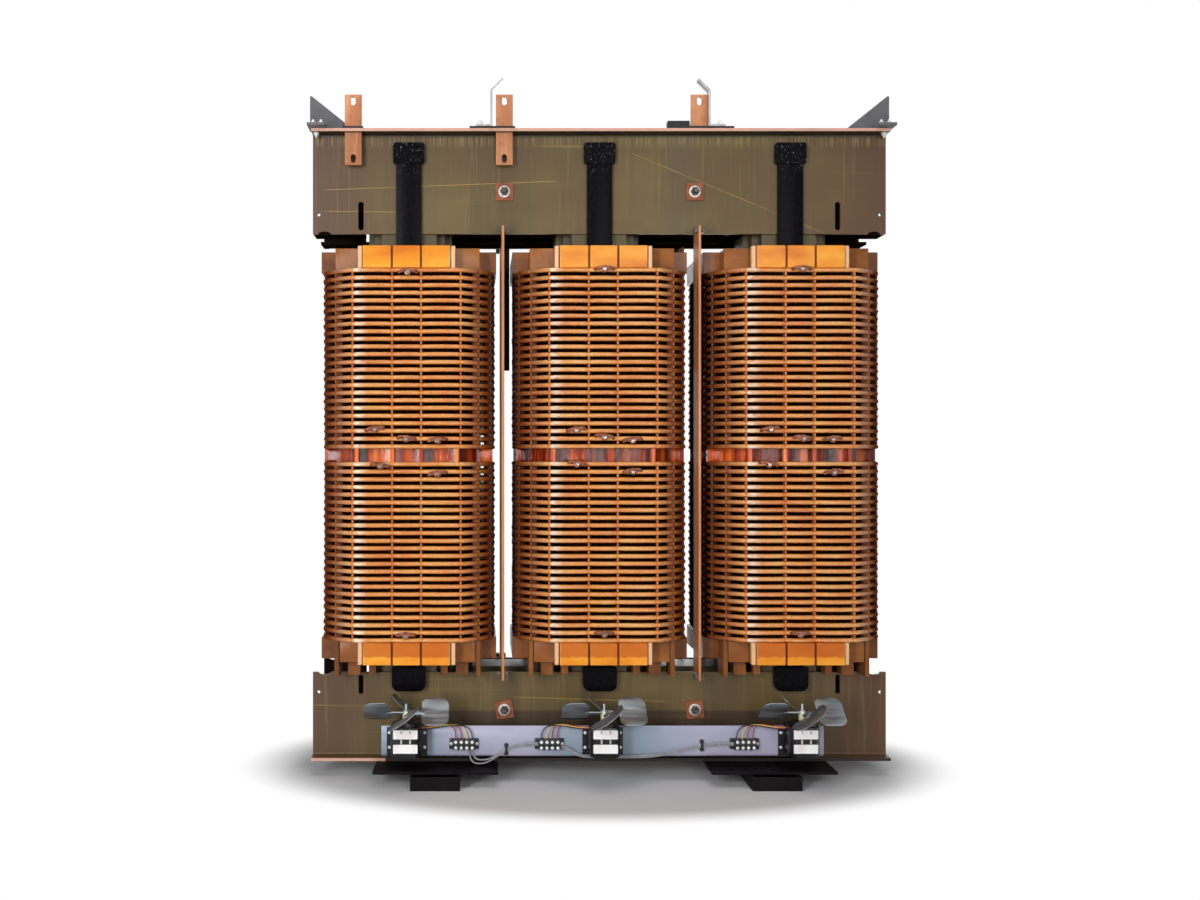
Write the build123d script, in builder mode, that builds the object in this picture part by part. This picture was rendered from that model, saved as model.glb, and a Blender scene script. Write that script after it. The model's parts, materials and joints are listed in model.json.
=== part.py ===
"""Open-wound dry-type power transformer, three phases, with three cooling fans.

Millimetres. X runs to the right along the core, Y to the back, Z up.
The origin is on the floor, midway between the anchor holes of the two feet.
"""
from build123d import *
import os
from math import radians, sqrt, tan

os.makedirs("parts", exist_ok=True)

# Laminated core: three legs and two yokes, cut from sheets of three widths
leg_pitch = 590
packet_widths = (260, 220, 170)
packet_half_depths = (64.5, 100, 127)
bottom_yoke_mid = 188
top_yoke_mid = 1830

# Clamps, folded plates that press the yokes together
clamp_half_length = 888
clamp_thickness = 10
top_clamp_bottom = 1670
top_clamp_height = 316
bottom_clamp_height = 264
clamp_flange = 46
clamp_flange_thickness = 9
clamp_lip = 78
clamp_bend = 6
lip_clearance = 10
end_slot_offset = 149
top_slot_length, top_slot_width, top_slot_mid = 89, 17, 1726
bottom_slot_length, bottom_slot_width, bottom_slot_mid = 60, 15, 274
corner_hole_inset, corner_hole_radius = 18, 5
top_corner_hole_height, bottom_corner_hole_height = 1730, 250
edge_notch_offset, edge_notch_width, edge_notch_depth = 36, 39, 8

# Coils: low-voltage winding inside, high-voltage discs outside, collars at both ends
coil_bottom = 356
coil_half_width = 265
coil_corner_cut = 85
collar_height = 66
collar_half_width = 270
collar_bore_half = 158
collar_board_half = 131
collar_side_half = 146
collar_joint = 3
corner_stick_width, corner_stick_front = 12, 262
corner_panel_front = 215
corner_panel_ends = {"bottom": 206, "top": 219}
collar_groove_offset, collar_groove_width, collar_groove_depth = 43.5, 6, 12
lv_thickness = 37
barrier_half_width = 210
barrier_thickness = 5
disc_count = 24
disc_height = 13
disc_pitch = 23
disc_depth = 43
disc_core_thickness = 8
half_gap = 40
stick_width = 12
stick_offsets = (-150, -43.5, 43.5, 150)
spacer_setback = 6

# Blocks between the coils and the bottom yoke
support_inner, support_outer = 150, 195
front_blocks = ((110, 22, 43), (165, 38, 53))
front_block_seat = 5
leg_offset, leg_thickness, leg_seat = 215, 14, 9

# Tie straps at the middle of each leg, front and rear
strap_width = 78
strap_thickness = 12
strap_cap_width, strap_cap_height, strap_cap_top = 97, 65, 1950
strap_cap_thickness, strap_cap_corner = 16, 8
strap_foot_width, strap_foot_height, strap_foot_thickness = 104, 72, 24
strap_foot_bottom, strap_foot_corner = 257, 22

# Insulating strips between the phases
strip_offset = 300
strip_thickness = 8
strip_front, strip_back = 200, 110
strip_seat_depth = 15
strip_fit = 0.3

# Bolts through the yokes
stud_offset = 295
stud_radius = 8
stud_hole_radius = 9
top_stud_drop, bottom_stud_rise = 30, 9
stud_reach = 30
nut_across_flats, nut_height = 24, 13
square_washer, square_washer_thickness = 54, 6

# Corner gussets on the top clamps
gusset_length, gusset_height, gusset_thickness, gusset_nose = 131, 109, 8, 6
gusset_overhang = 8
gusset_foot_length, gusset_foot_reach, gusset_foot_thickness = 55, 80, 9

# Copper terminal bars at the front of the top clamp
left_bar_inset, middle_bar_offset, short_bar_offset = 128, 295, 305
bar_width, bar_thickness = 52, 10
bar_front_gap = 19
bar_top, bar_bottom = 2094, 1877
bar_slot_length, bar_slot_width, bar_slot_inset = 26, 15, 20
pad_depth, pad_thickness = 28, 9
left_pad_length = 62
middle_pad_length, middle_pad_mid = 140, -332
right_pad_length, right_pad_mid = 136, 343
lead_block_length, lead_block_mid, lead_block_height = 68, 240, 25
bar_opening_clearance = 4
short_bar_foot = 24

# Bent strips that hold the high-voltage leads
bracket_offset = 335
bracket_thickness, bracket_depth = 6, 28
bracket_rise, bracket_turn = 107, 33
bracket_foot = 46

# Insulated lead bars at the back, beside the middle coil
lead_bar_offset, lead_bar_width, lead_bar_thickness = 282, 20, 12
lead_bar_bottom, lead_bar_top = 1266, 1750

# Feet: a channel with its toes up and closed ends, covered by a plate
foot_offset = 502
foot_half_length, foot_plate_half_length = 342, 310
foot_plate_width, foot_plate_thickness = 372, 8
foot_channel_width, foot_channel_height, foot_channel_wall = 146, 40, 8
anchor_hole_radius = 9
anchor_row_half = 285

# Fan rail: an angle in front of the bottom clamp, with its leg at the bottom
rail_half_length = 668
rail_face = 235
rail_thickness = 6
rail_bottom, rail_top = 75, 168
rail_bend = 8

# Fans
fan_axis = 280
motor_width = 88
motor_bottom, motor_shoulder, motor_top = 92, 181, 190
motor_corner = 14
motor_boss_radius, motor_boss_taper = 40, 12
motor_ear_half, motor_ear_thickness = 61, 4
motor_ear_bottom, motor_ear_top = 76, 164
rotor_gap = 5
hub_radius, hub_height = 10, 29
shaft_radius, shaft_fit, shaft_depth, shaft_top = 4, 0.5, 10, 244
shaft_end_play = 1
blade_count = 4
blade_root, blade_tip = 46, 127
blade_chord, blade_pitch, blade_thickness = 112, 36, 2
blade_camber_radius = 240
blade_corner = 30
blade_mid_above_hub = 25
blade_arm_width, blade_arm_thickness, blade_arm_drop = 16, 4, 1
blade_arm_lap, hub_lap = 9, 5

# Terminal blocks on the rail, with the fans' wiring
block_offsets = {"left": -418, "middle": -161, "right": 427}
block_length, block_height, block_depth, block_base = 88, 32, 24, 5
block_mid_height = 115
block_ear = 11
block_rib_count, block_rib_width = 3, 4
lead_radius = 3.5
lead_exit_height, lead_exit_run, lead_crest_height = 168, 32, 177
lead_exit_depth, lead_crest_depth, lead_drop_height = 262, 254, 168
cable_radius = 4.5
cable_fit = 0.3

phases = {"left": -leg_pitch, "middle": 0, "right": leg_pitch}

# Heights and depths that follow from the dimensions above
core_half_depth = packet_half_depths[-1]
web_mid = core_half_depth + clamp_thickness / 2
web_face = core_half_depth + clamp_thickness
bottom_clamp_bottom = foot_channel_height + foot_plate_thickness
bottom_clamp_top = bottom_clamp_bottom + bottom_clamp_height
top_clamp_top = top_clamp_bottom + top_clamp_height
bottom_yoke_top = bottom_yoke_mid + packet_widths[0] / 2
half_height = (disc_count - 1) * disc_pitch + disc_height
winding_bottom = coil_bottom + collar_height
winding_height = 2 * half_height + half_gap
winding_top = winding_bottom + winding_height
coil_inner_half = coil_half_width - disc_depth
bar_mid = web_face + bar_front_gap + bar_thickness / 2
bar_offsets = (left_bar_inset - clamp_half_length, -middle_bar_offset)
top_stud_height = top_yoke_mid - top_stud_drop
bottom_stud_height = bottom_yoke_mid + bottom_stud_rise


def save(piece, name):
    """Label a finished piece and write it to its own file."""
    piece.part.label = name
    export_step(piece.part, f"parts/{name}.step")


def corner_cut(half_width):
    """Corner cut of an eight-sided outline that runs parallel to the coil's outside."""
    return coil_corner_cut - (coil_half_width - half_width) * (2 - sqrt(2))


def eight_sided(half_width, mode=Mode.ADD):
    """A square outline with its corners cut off, as the wire lies between the sticks."""
    with BuildSketch(mode=Mode.PRIVATE) as outline:
        Rectangle(2 * half_width, 2 * half_width)
        chamfer(outline.vertices(), corner_cut(half_width))
    add(outline.sketch, mode=mode)


def bend_radii(points):
    """The radius of each bend of a cable: as large as its two runs allow."""
    radii = []
    for before, corner, after in zip(points, points[1:], points[2:]):
        run_in = Vector(corner) - Vector(before)
        run_out = Vector(after) - Vector(corner)
        half_turn = radians(run_in.get_angle(run_out) / 2)
        radii.append(0.45 * min(run_in.length, run_out.length) / tan(half_turn))
    return radii


def cable_path(points):
    """Straight runs joined by arcs through a list of chosen points."""
    radii = bend_radii(points)
    print("bend radii", [round(radius, 1) for radius in radii])
    return FilletPolyline(*points, radius=radii)


# Core legs: each packet of sheets runs up to the yokes' packet of the same depth
def packet_slabs():
    """Width, middle of the depth and thickness of each slab of sheets in the core."""
    slabs = [(packet_widths[0], 0, 2 * packet_half_depths[0])]
    for width, inner, outer in zip(packet_widths[1:], packet_half_depths, packet_half_depths[1:]):
        for side in (-1, 1):
            slabs.append((width, side * (inner + outer) / 2, outer - inner))
    return slabs


with BuildPart() as core_legs:
    for width, y, thickness in packet_slabs():
        with BuildSketch(Plane.XY.offset(bottom_yoke_mid + width / 2)):
            with Locations(*[(x, y) for x in phases.values()]):
                Rectangle(width, thickness)
        extrude(amount=top_yoke_mid - bottom_yoke_mid - width)
save(core_legs, "core_legs")


# Yokes, drilled for the through bolts
for name, mid, stud_height in (
    ("bottom_yoke", bottom_yoke_mid, bottom_stud_height),
    ("top_yoke", top_yoke_mid, top_stud_height),
):
    with BuildPart() as yoke:
        for width, y, thickness in packet_slabs():
            with BuildSketch(Plane.XY.offset(mid - width / 2)):
                with Locations((0, y)):
                    Rectangle(2 * leg_pitch + width, thickness)
            extrude(amount=width)
        with BuildSketch(Plane.XZ):
            with Locations((-stud_offset, stud_height), (stud_offset, stud_height)):
                Circle(stud_hole_radius)
        extrude(amount=core_half_depth, both=True, mode=Mode.SUBTRACT)
    save(yoke, name)


def web_openings(facing, slot, hole_height, stud_height, notched_edge):
    """Slots, holes and notches in the web of a clamp, drawn at mid thickness."""
    slot_length, slot_width, slot_mid = slot
    slot_x = clamp_half_length - end_slot_offset
    hole_x = clamp_half_length - corner_hole_inset
    notch_x = clamp_half_length - edge_notch_offset
    with BuildSketch(Plane.XZ.offset(-facing * web_mid)) as openings:
        with Locations((-slot_x, slot_mid), (slot_x, slot_mid)):
            SlotOverall(slot_length, slot_width, rotation=90)
        with Locations((-hole_x, hole_height), (hole_x, hole_height)):
            Circle(corner_hole_radius)
        with Locations((-stud_offset, stud_height), (stud_offset, stud_height)):
            Circle(stud_hole_radius)
        with Locations((-notch_x, notched_edge), (notch_x, notched_edge)):
            Ellipse(edge_notch_width / 2, edge_notch_depth)
        with Locations((-strip_offset, notched_edge), (strip_offset, notched_edge)):
            Rectangle(strip_thickness + 2 * strip_fit, 2 * strip_seat_depth)
    return openings.sketch


def clamp_section(facing, bottom, height, flange_at_top):
    """Section of a clamp: a web with an outward flange at its top or bottom edge."""
    edge = bottom + height if flange_at_top else bottom
    inward = -clamp_flange_thickness if flange_at_top else clamp_flange_thickness
    with BuildSketch(Plane.YZ) as section:
        with Locations((facing * web_mid, bottom + height / 2)):
            Rectangle(clamp_thickness, height)
        with Locations((facing * (web_face + clamp_flange / 2), edge + inward / 2)):
            Rectangle(clamp_flange, clamp_flange_thickness)
        inside = section.vertices().sort_by_distance((facing * web_face, edge + inward))[0]
        fillet(inside, clamp_bend)
        outside = section.vertices().sort_by_distance((facing * core_half_depth, edge))[0]
        fillet(outside, clamp_bend + clamp_flange_thickness)
    return section.sketch


# Top clamps: web, outward flange and an inward lip that is cut away at the legs
lip_gap_half = packet_widths[0] / 2 + lip_clearance
for name, facing in (("front_top_clamp", -1), ("rear_top_clamp", 1)):
    with BuildPart() as top_clamp:
        section = clamp_section(facing, top_clamp_bottom, top_clamp_height, True)
        extrude(section, amount=clamp_half_length, both=True)
        slot = (top_slot_length, top_slot_width, top_slot_mid)
        openings = web_openings(
            facing, slot, top_corner_hole_height, top_stud_height, top_clamp_bottom
        )
        extrude(openings, amount=clamp_thickness / 2, both=True, mode=Mode.SUBTRACT)
        with BuildSketch(Plane.XY.offset(top_clamp_bottom)):
            with Locations((0, facing * (core_half_depth - clamp_lip / 2))):
                Rectangle(2 * clamp_half_length, clamp_lip)
            with Locations(*[(x, facing * (core_half_depth - clamp_lip / 2)) for x in phases.values()]):
                Rectangle(2 * lip_gap_half, clamp_lip, mode=Mode.SUBTRACT)
            with Locations(*[(x, facing * strip_back) for x in (-strip_offset, strip_offset)]):
                seat_depth = 2 * (core_half_depth - strip_back + strip_fit)
                Rectangle(strip_thickness + 2 * strip_fit, seat_depth, mode=Mode.SUBTRACT)
        extrude(amount=clamp_flange_thickness)
        if facing < 0:
            with BuildSketch(Plane.XY.offset(top_clamp_top)):
                with Locations(*[(x, -bar_mid) for x in bar_offsets]):
                    Rectangle(
                        bar_width + 2 * bar_opening_clearance,
                        bar_thickness + 2 * bar_opening_clearance,
                    )
            extrude(amount=-clamp_flange_thickness, mode=Mode.SUBTRACT)
    save(top_clamp, name)


# Bottom clamps stand on the feet
for name, facing in (("front_bottom_clamp", -1), ("rear_bottom_clamp", 1)):
    with BuildPart() as bottom_clamp:
        section = clamp_section(facing, bottom_clamp_bottom, bottom_clamp_height, False)
        extrude(section, amount=clamp_half_length, both=True)
        slot = (bottom_slot_length, bottom_slot_width, bottom_slot_mid)
        openings = web_openings(
            facing, slot, bottom_corner_hole_height, bottom_stud_height, bottom_clamp_top
        )
        extrude(openings, amount=clamp_thickness / 2, both=True, mode=Mode.SUBTRACT)
    save(bottom_clamp, name)


# Through bolts with a nut at each end, and their square insulating washers
bolt_places = [
    (x, z) for x in (-stud_offset, stud_offset) for z in (bottom_stud_height, top_stud_height)
]
washer_face = web_face + square_washer_thickness
with BuildPart() as clamp_studs:
    with BuildSketch(Plane.XZ):
        with Locations(*bolt_places):
            Circle(stud_radius)
    extrude(amount=washer_face + stud_reach, both=True)
    for facing in (-1, 1):
        with BuildSketch(Plane.XZ.offset(-facing * washer_face)):
            with Locations(*bolt_places):
                RegularPolygon(nut_across_flats / 2, 6, major_radius=False)
        extrude(amount=-facing * nut_height)
save(clamp_studs, "clamp_studs")

with BuildPart() as clamp_washers:
    for facing in (-1, 1):
        with BuildSketch(Plane.XZ.offset(-facing * web_face)):
            with Locations(*bolt_places):
                Rectangle(square_washer, square_washer)
                Circle(stud_hole_radius, mode=Mode.SUBTRACT)
        extrude(amount=-facing * square_washer_thickness)
save(clamp_washers, "clamp_washers")


# Low-voltage windings: a thick eight-sided tube of foil around each leg
for phase, x in phases.items():
    with BuildPart() as lv_winding:
        with BuildSketch(Plane.XY.offset(winding_bottom)):
            with Locations((x, 0)):
                eight_sided(collar_bore_half + lv_thickness)
                eight_sided(collar_bore_half, Mode.SUBTRACT)
        extrude(amount=winding_height)
    save(lv_winding, f"lv_winding_{phase}")


# Barriers: a thin tube with the upright sticks that the discs are wound on
stick_depth = coil_inner_half - barrier_half_width
spacer_depth = disc_depth - spacer_setback
gap_bottom = winding_bottom + half_height
with BuildPart() as barriers:
    for x in phases.values():
        with BuildSketch(Plane.XY.offset(winding_bottom)):
            with Locations((x, 0)):
                eight_sided(barrier_half_width)
            for turn in (0, 90, 180, 270):
                with Locations(Location((x, 0), turn)):
                    with Locations(*[(y, coil_inner_half - stick_depth / 2) for y in stick_offsets]):
                        Rectangle(stick_width, stick_depth)
            with Locations((x, 0)):
                eight_sided(barrier_half_width - barrier_thickness, Mode.SUBTRACT)
        extrude(amount=winding_height)
        with BuildSketch(Plane.XY.offset(gap_bottom)):
            for turn in (0, 90, 180, 270):
                with Locations(Location((x, 0), turn)):
                    with Locations(*[(y, coil_inner_half + spacer_depth / 2) for y in stick_offsets]):
                        Rectangle(stick_width, spacer_depth)
        extrude(amount=half_gap)
save(barriers, "barriers")


# High-voltage windings: two stacks of flat discs with a gap at mid height. Each stack is
# made of eight straight stretches that meet in mitres at the coil's corners.
corner_mitre = tan(radians(22.5))


def coil_stretch(inner_distance, inner_half):
    """One straight stretch of a stack of discs, facing Y, with mitred ends."""
    disc_levels = [disc * disc_pitch for disc in range(disc_count)]
    with BuildPart() as stretch:
        for depth, levels, height in (
            (disc_core_thickness, [0], half_height),
            (disc_depth, disc_levels, disc_height),
        ):
            outer_half = inner_half + depth * corner_mitre
            with BuildSketch(*[Plane.XY.offset(level) for level in levels]):
                Polygon(
                    (-inner_half, inner_distance),
                    (inner_half, inner_distance),
                    (outer_half, inner_distance + depth),
                    (-outer_half, inner_distance + depth),
                    align=None,
                )
            extrude(amount=height)
    return stretch.part.solid()


inner_cut = corner_cut(coil_inner_half)
flat_stretch = coil_stretch(coil_inner_half, coil_inner_half - inner_cut)
corner_stretch = coil_stretch((2 * coil_inner_half - inner_cut) / sqrt(2), inner_cut / sqrt(2))
for phase, x in phases.items():
    stretches = []
    for z in (winding_bottom, gap_bottom + half_gap):
        for turn in (0, 90, 180, 270):
            stretches.append(Location((x, 0, z), (0, 0, turn)) * flat_stretch)
            stretches.append(Location((x, 0, z), (0, 0, turn + 45)) * corner_stretch)
    whole = Compound(children=stretches)
    whole.label = f"hv_winding_{phase}"
    export_step(whole, f"parts/{whole.label}.step")


# Collars: eight blocks in a ring carry the coil at its bottom and press it at its top
def corner_outline(level):
    """Outline of a corner block: an upright stick in front of a panel that is set back."""
    stick_start = collar_board_half + collar_joint
    stick_end = stick_start + corner_stick_width
    panel_end = corner_panel_ends[level]
    panel_back = collar_side_half + collar_joint
    return [
        (stick_start, corner_stick_front),
        (stick_end, corner_stick_front),
        (stick_end, corner_panel_front),
        (panel_end, corner_panel_front),
        (panel_end, panel_back),
        (collar_bore_half, panel_back),
        (stick_start, collar_bore_half + collar_joint),
    ]


collar_reach = collar_half_width - collar_bore_half
collar_mid = (collar_half_width + collar_bore_half) / 2
for phase, x in phases.items():
    for level, z in (("bottom", coil_bottom), ("top", winding_top)):
        with BuildPart() as collar:
            for facing in (-1, 1):
                with BuildSketch(Plane.XY.offset(z)):
                    with Locations((x, facing * collar_mid)):
                        Rectangle(2 * collar_board_half, collar_reach)
                    groove_mid = collar_half_width - collar_groove_depth / 2
                    with Locations(*[
                        (x + side * collar_groove_offset, facing * groove_mid) for side in (-1, 1)
                    ]):
                        Rectangle(collar_groove_width, collar_groove_depth, mode=Mode.SUBTRACT)
                extrude(amount=collar_height)
                with BuildSketch(Plane.XY.offset(z)):
                    with Locations((x + facing * collar_mid, 0)):
                        Rectangle(collar_reach, 2 * collar_side_half)
                extrude(amount=collar_height)
            for side_x in (-1, 1):
                for side_y in (-1, 1):
                    with BuildSketch(Plane.XY.offset(z)):
                        with BuildLine():
                            Polyline(
                                [(x + side_x * px, side_y * py) for px, py in corner_outline(level)],
                                close=True,
                            )
                        make_face()
                    extrude(amount=collar_height)
        save(collar, f"{level}_collar_{phase}")


# Support blocks on the yoke and on the clamps, and legs that reach up beside the collars
with BuildPart() as coil_supports:
    for x in phases.values():
        with BuildSketch(Plane.XY.offset(bottom_yoke_top)):
            with Locations(*[(x + side * (support_inner + support_outer) / 2, 0) for side in (-1, 1)]):
                Rectangle(support_outer - support_inner, 2 * packet_half_depths[0])
        extrude(amount=coil_bottom - bottom_yoke_top)
        with BuildSketch(Plane.XY.offset(bottom_clamp_top)):
            for offset_x, width, reach in front_blocks:
                block_mid = web_face - front_block_seat + reach / 2
                with Locations(*[
                    (x + side * offset_x, facing * block_mid) for side in (-1, 1) for facing in (-1, 1)
                ]):
                    Rectangle(width, reach)
        extrude(amount=coil_bottom - bottom_clamp_top)
        for bottom, top, back in (
            (bottom_clamp_top, coil_bottom, web_face - leg_seat),
            (coil_bottom, winding_bottom, collar_side_half + collar_joint),
        ):
            with BuildSketch(Plane.XY.offset(bottom)):
                leg_mid = (back + corner_panel_front) / 2
                with Locations(*[
                    (x + side * leg_offset, facing * leg_mid) for side in (-1, 1) for facing in (-1, 1)
                ]):
                    Rectangle(leg_thickness, corner_panel_front - back)
            extrude(amount=top - bottom)
save(coil_supports, "coil_supports")


# Tie straps: a flat bar from the top clamp through the coil to the bottom clamp
for name, facing in (("front_tie_straps", -1), ("rear_tie_straps", 1)):
    with BuildPart() as tie_straps:
        for x in phases.values():
            strap_length = strap_cap_top - strap_foot_bottom
            with BuildSketch(Plane.XY.offset(strap_foot_bottom)):
                with Locations((x, facing * (web_face + strap_thickness / 2))):
                    Rectangle(strap_width, strap_thickness)
            extrude(amount=strap_length)
            with BuildSketch(Plane.XZ.offset(-facing * web_face)):
                with Locations((x, strap_cap_top - strap_cap_height / 2)):
                    RectangleRounded(strap_cap_width, strap_cap_height, strap_cap_corner)
            extrude(amount=-facing * strap_cap_thickness)
            with BuildSketch(Plane.XZ.offset(-facing * web_face)) as foot:
                with Locations((x, strap_foot_bottom + strap_foot_height / 2)):
                    Rectangle(strap_foot_width, strap_foot_height)
                fillet(foot.vertices().group_by(Axis.Y)[0], strap_foot_corner)
            extrude(amount=-facing * strap_foot_thickness)
    save(tie_straps, name)


# Phase strips seated in the notches of the clamps
strip_low = bottom_clamp_top - strip_seat_depth
strip_high = top_clamp_bottom + strip_seat_depth
with BuildPart() as phase_strips:
    with BuildSketch(Plane.XY.offset(strip_low)):
        with Locations(*[
            (x, facing * (strip_front + strip_back) / 2)
            for x in (-strip_offset, strip_offset)
            for facing in (-1, 1)
        ]):
            Rectangle(strip_thickness, strip_front - strip_back)
    extrude(amount=strip_high - strip_low)
save(phase_strips, "phase_strips")


# Corner gussets: upright triangles in line with the webs, each on a forward foot plate
with BuildPart() as corner_gussets:
    for facing in (-1, 1):
        for side in (-1, 1):
            end = side * (clamp_half_length + gusset_overhang)
            with BuildSketch(Plane.XZ.offset(-facing * (web_face + gusset_thickness))):
                with BuildLine():
                    Polyline(
                        (end, top_clamp_top),
                        (end, top_clamp_top + gusset_height),
                        (end - side * gusset_nose, top_clamp_top + gusset_height),
                        (end - side * gusset_length, top_clamp_top + gusset_foot_thickness),
                        (end - side * gusset_length, top_clamp_top),
                        close=True,
                    )
                make_face()
            extrude(amount=facing * gusset_thickness)
            with BuildSketch(Plane.XY.offset(top_clamp_top)):
                with Locations((
                    end - side * gusset_foot_length / 2,
                    facing * (web_face + gusset_foot_reach / 2),
                )):
                    Rectangle(gusset_foot_length, gusset_foot_reach)
            extrude(amount=gusset_foot_thickness)
save(corner_gussets, "corner_gussets")


# Copper terminal bars and the insulating pads that carry them on the flange
with BuildPart() as terminal_pads:
    with BuildSketch(Plane.XY.offset(top_clamp_top)):
        for length, mid in (
            (left_pad_length, bar_offsets[0]),
            (middle_pad_length, middle_pad_mid),
            (right_pad_length, right_pad_mid),
        ):
            with Locations((mid, -bar_mid)):
                Rectangle(length, pad_depth)
        with Locations(*[(x, -bar_mid) for x in bar_offsets]):
            Rectangle(bar_width, bar_thickness, mode=Mode.SUBTRACT)
    extrude(amount=pad_thickness)
    with BuildSketch(Plane.XY.offset(top_clamp_top)):
        with Locations((lead_block_mid, -bar_mid)):
            Rectangle(lead_block_length, pad_depth)
    extrude(amount=lead_block_height)
save(terminal_pads, "terminal_pads")

for name, x in zip(("terminal_bar_left", "terminal_bar_middle"), bar_offsets):
    with BuildPart() as terminal_bar:
        with BuildSketch(Plane.XZ.offset(bar_mid)):
            with Locations((x, (bar_top + bar_bottom) / 2)):
                Rectangle(bar_width, bar_top - bar_bottom)
            with Locations((x, bar_top - bar_slot_inset), (x, bar_bottom + bar_slot_inset)):
                SlotOverall(bar_slot_length, bar_slot_width, rotation=90, mode=Mode.SUBTRACT)
        extrude(amount=bar_thickness / 2, both=True)
    save(terminal_bar, name)

pad_top = top_clamp_top + pad_thickness
with BuildPart() as terminal_bar_right:
    with BuildSketch(Plane.XZ.offset(bar_mid)):
        with Locations((short_bar_offset, (bar_top + pad_top) / 2)):
            Rectangle(bar_width, bar_top - pad_top)
        with Locations((short_bar_offset, bar_top - bar_slot_inset)):
            SlotOverall(bar_slot_length, bar_slot_width, rotation=90, mode=Mode.SUBTRACT)
    extrude(amount=bar_thickness / 2, both=True)
    with BuildSketch(Plane.XY.offset(pad_top)):
        with Locations((short_bar_offset, -bar_mid - bar_thickness / 2 + short_bar_foot / 2)):
            Rectangle(bar_width, short_bar_foot)
    extrude(amount=bar_thickness)
save(terminal_bar_right, "terminal_bar_right")


# Bent strips on the pads, leaning towards the middle at the top
with BuildPart() as lead_brackets:
    foot_z = pad_top + bracket_thickness / 2
    for side in (-1, 1):
        with BuildSketch(Plane.XZ.offset(bar_mid)):
            with BuildLine():
                Polyline(
                    (side * (bracket_offset + bracket_foot), foot_z),
                    (side * bracket_offset, foot_z),
                    (side * bracket_offset, foot_z + bracket_rise),
                    (side * (bracket_offset - bracket_turn), foot_z + bracket_rise + bracket_turn),
                )
                offset(amount=bracket_thickness / 2, kind=Kind.INTERSECTION, side=Side.BOTH)
            make_face()
        extrude(amount=bracket_depth / 2, both=True)
save(lead_brackets, "lead_brackets")


# Insulated lead bars hung on the back of the rear top clamp
with BuildPart() as rear_lead_bars:
    with BuildSketch(Plane.XY.offset(lead_bar_bottom)):
        with Locations(*[
            (x, web_face + lead_bar_thickness / 2) for x in (-lead_bar_offset, lead_bar_offset)
        ]):
            Rectangle(lead_bar_width, lead_bar_thickness)
    extrude(amount=lead_bar_top - lead_bar_bottom)
save(rear_lead_bars, "rear_lead_bars")


# Feet
with BuildPart() as feet:
    for x in (-foot_offset, foot_offset):
        with Locations((x, 0, foot_channel_height / 2)):
            Box(foot_channel_width, 2 * foot_half_length, foot_channel_height)
        with Locations((x, 0, (foot_channel_height + foot_channel_wall) / 2)):
            Box(
                foot_channel_width - 2 * foot_channel_wall,
                2 * (foot_half_length - foot_channel_wall),
                foot_channel_height - foot_channel_wall,
                mode=Mode.SUBTRACT,
            )
        with Locations((x, 0, foot_channel_height + foot_plate_thickness / 2)):
            Box(foot_plate_width, 2 * foot_plate_half_length, foot_plate_thickness)
    with BuildSketch():
        with GridLocations(2 * foot_offset, 2 * anchor_row_half, 2, 2):
            Circle(anchor_hole_radius)
    extrude(amount=foot_channel_height + foot_plate_thickness, mode=Mode.SUBTRACT)
save(feet, "feet")


# Fan rail
with BuildPart() as fan_rail:
    with BuildSketch(Plane.YZ) as angle:
        with BuildLine():
            Polyline(
                (-rail_face, rail_top),
                (-rail_face, rail_bottom),
                (-web_face, rail_bottom),
                (-web_face, rail_bottom + rail_thickness),
                (-rail_face + rail_thickness, rail_bottom + rail_thickness),
                (-rail_face + rail_thickness, rail_top),
                close=True,
            )
        make_face()
        fillet(angle.vertices().sort_by_distance((-rail_face, rail_bottom))[0], rail_bend)
    extrude(amount=rail_half_length, both=True)
save(fan_rail, "fan_rail")


# Fan motors: a square body with mounting ears and a boss that holds the shaft
for phase, x in phases.items():
    with BuildPart() as fan_motor:
        motor_mid = rail_face + motor_width / 2
        with BuildSketch(Plane.XY.offset(motor_bottom)) as body:
            with Locations((x, -motor_mid)):
                Rectangle(motor_width, motor_width)
            chamfer(body.vertices().group_by(Axis.Y)[0], motor_corner)
        extrude(amount=motor_shoulder - motor_bottom)
        with BuildSketch(Plane.XY.offset(motor_shoulder)):
            with Locations((x, -fan_axis)):
                Circle(motor_boss_radius)
        extrude(amount=motor_top - motor_shoulder, taper=motor_boss_taper)
        with BuildSketch(Plane.XZ.offset(rail_face)):
            with Locations((x, (motor_ear_bottom + motor_ear_top) / 2)):
                Rectangle(2 * motor_ear_half, motor_ear_top - motor_ear_bottom)
        extrude(amount=motor_ear_thickness)
        with BuildSketch(Plane.XY.offset(motor_top)):
            with Locations((x, -fan_axis)):
                Circle(shaft_radius + shaft_fit)
        extrude(amount=-shaft_depth, mode=Mode.SUBTRACT)
    save(fan_motor, f"fan_motor_{phase}")


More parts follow.
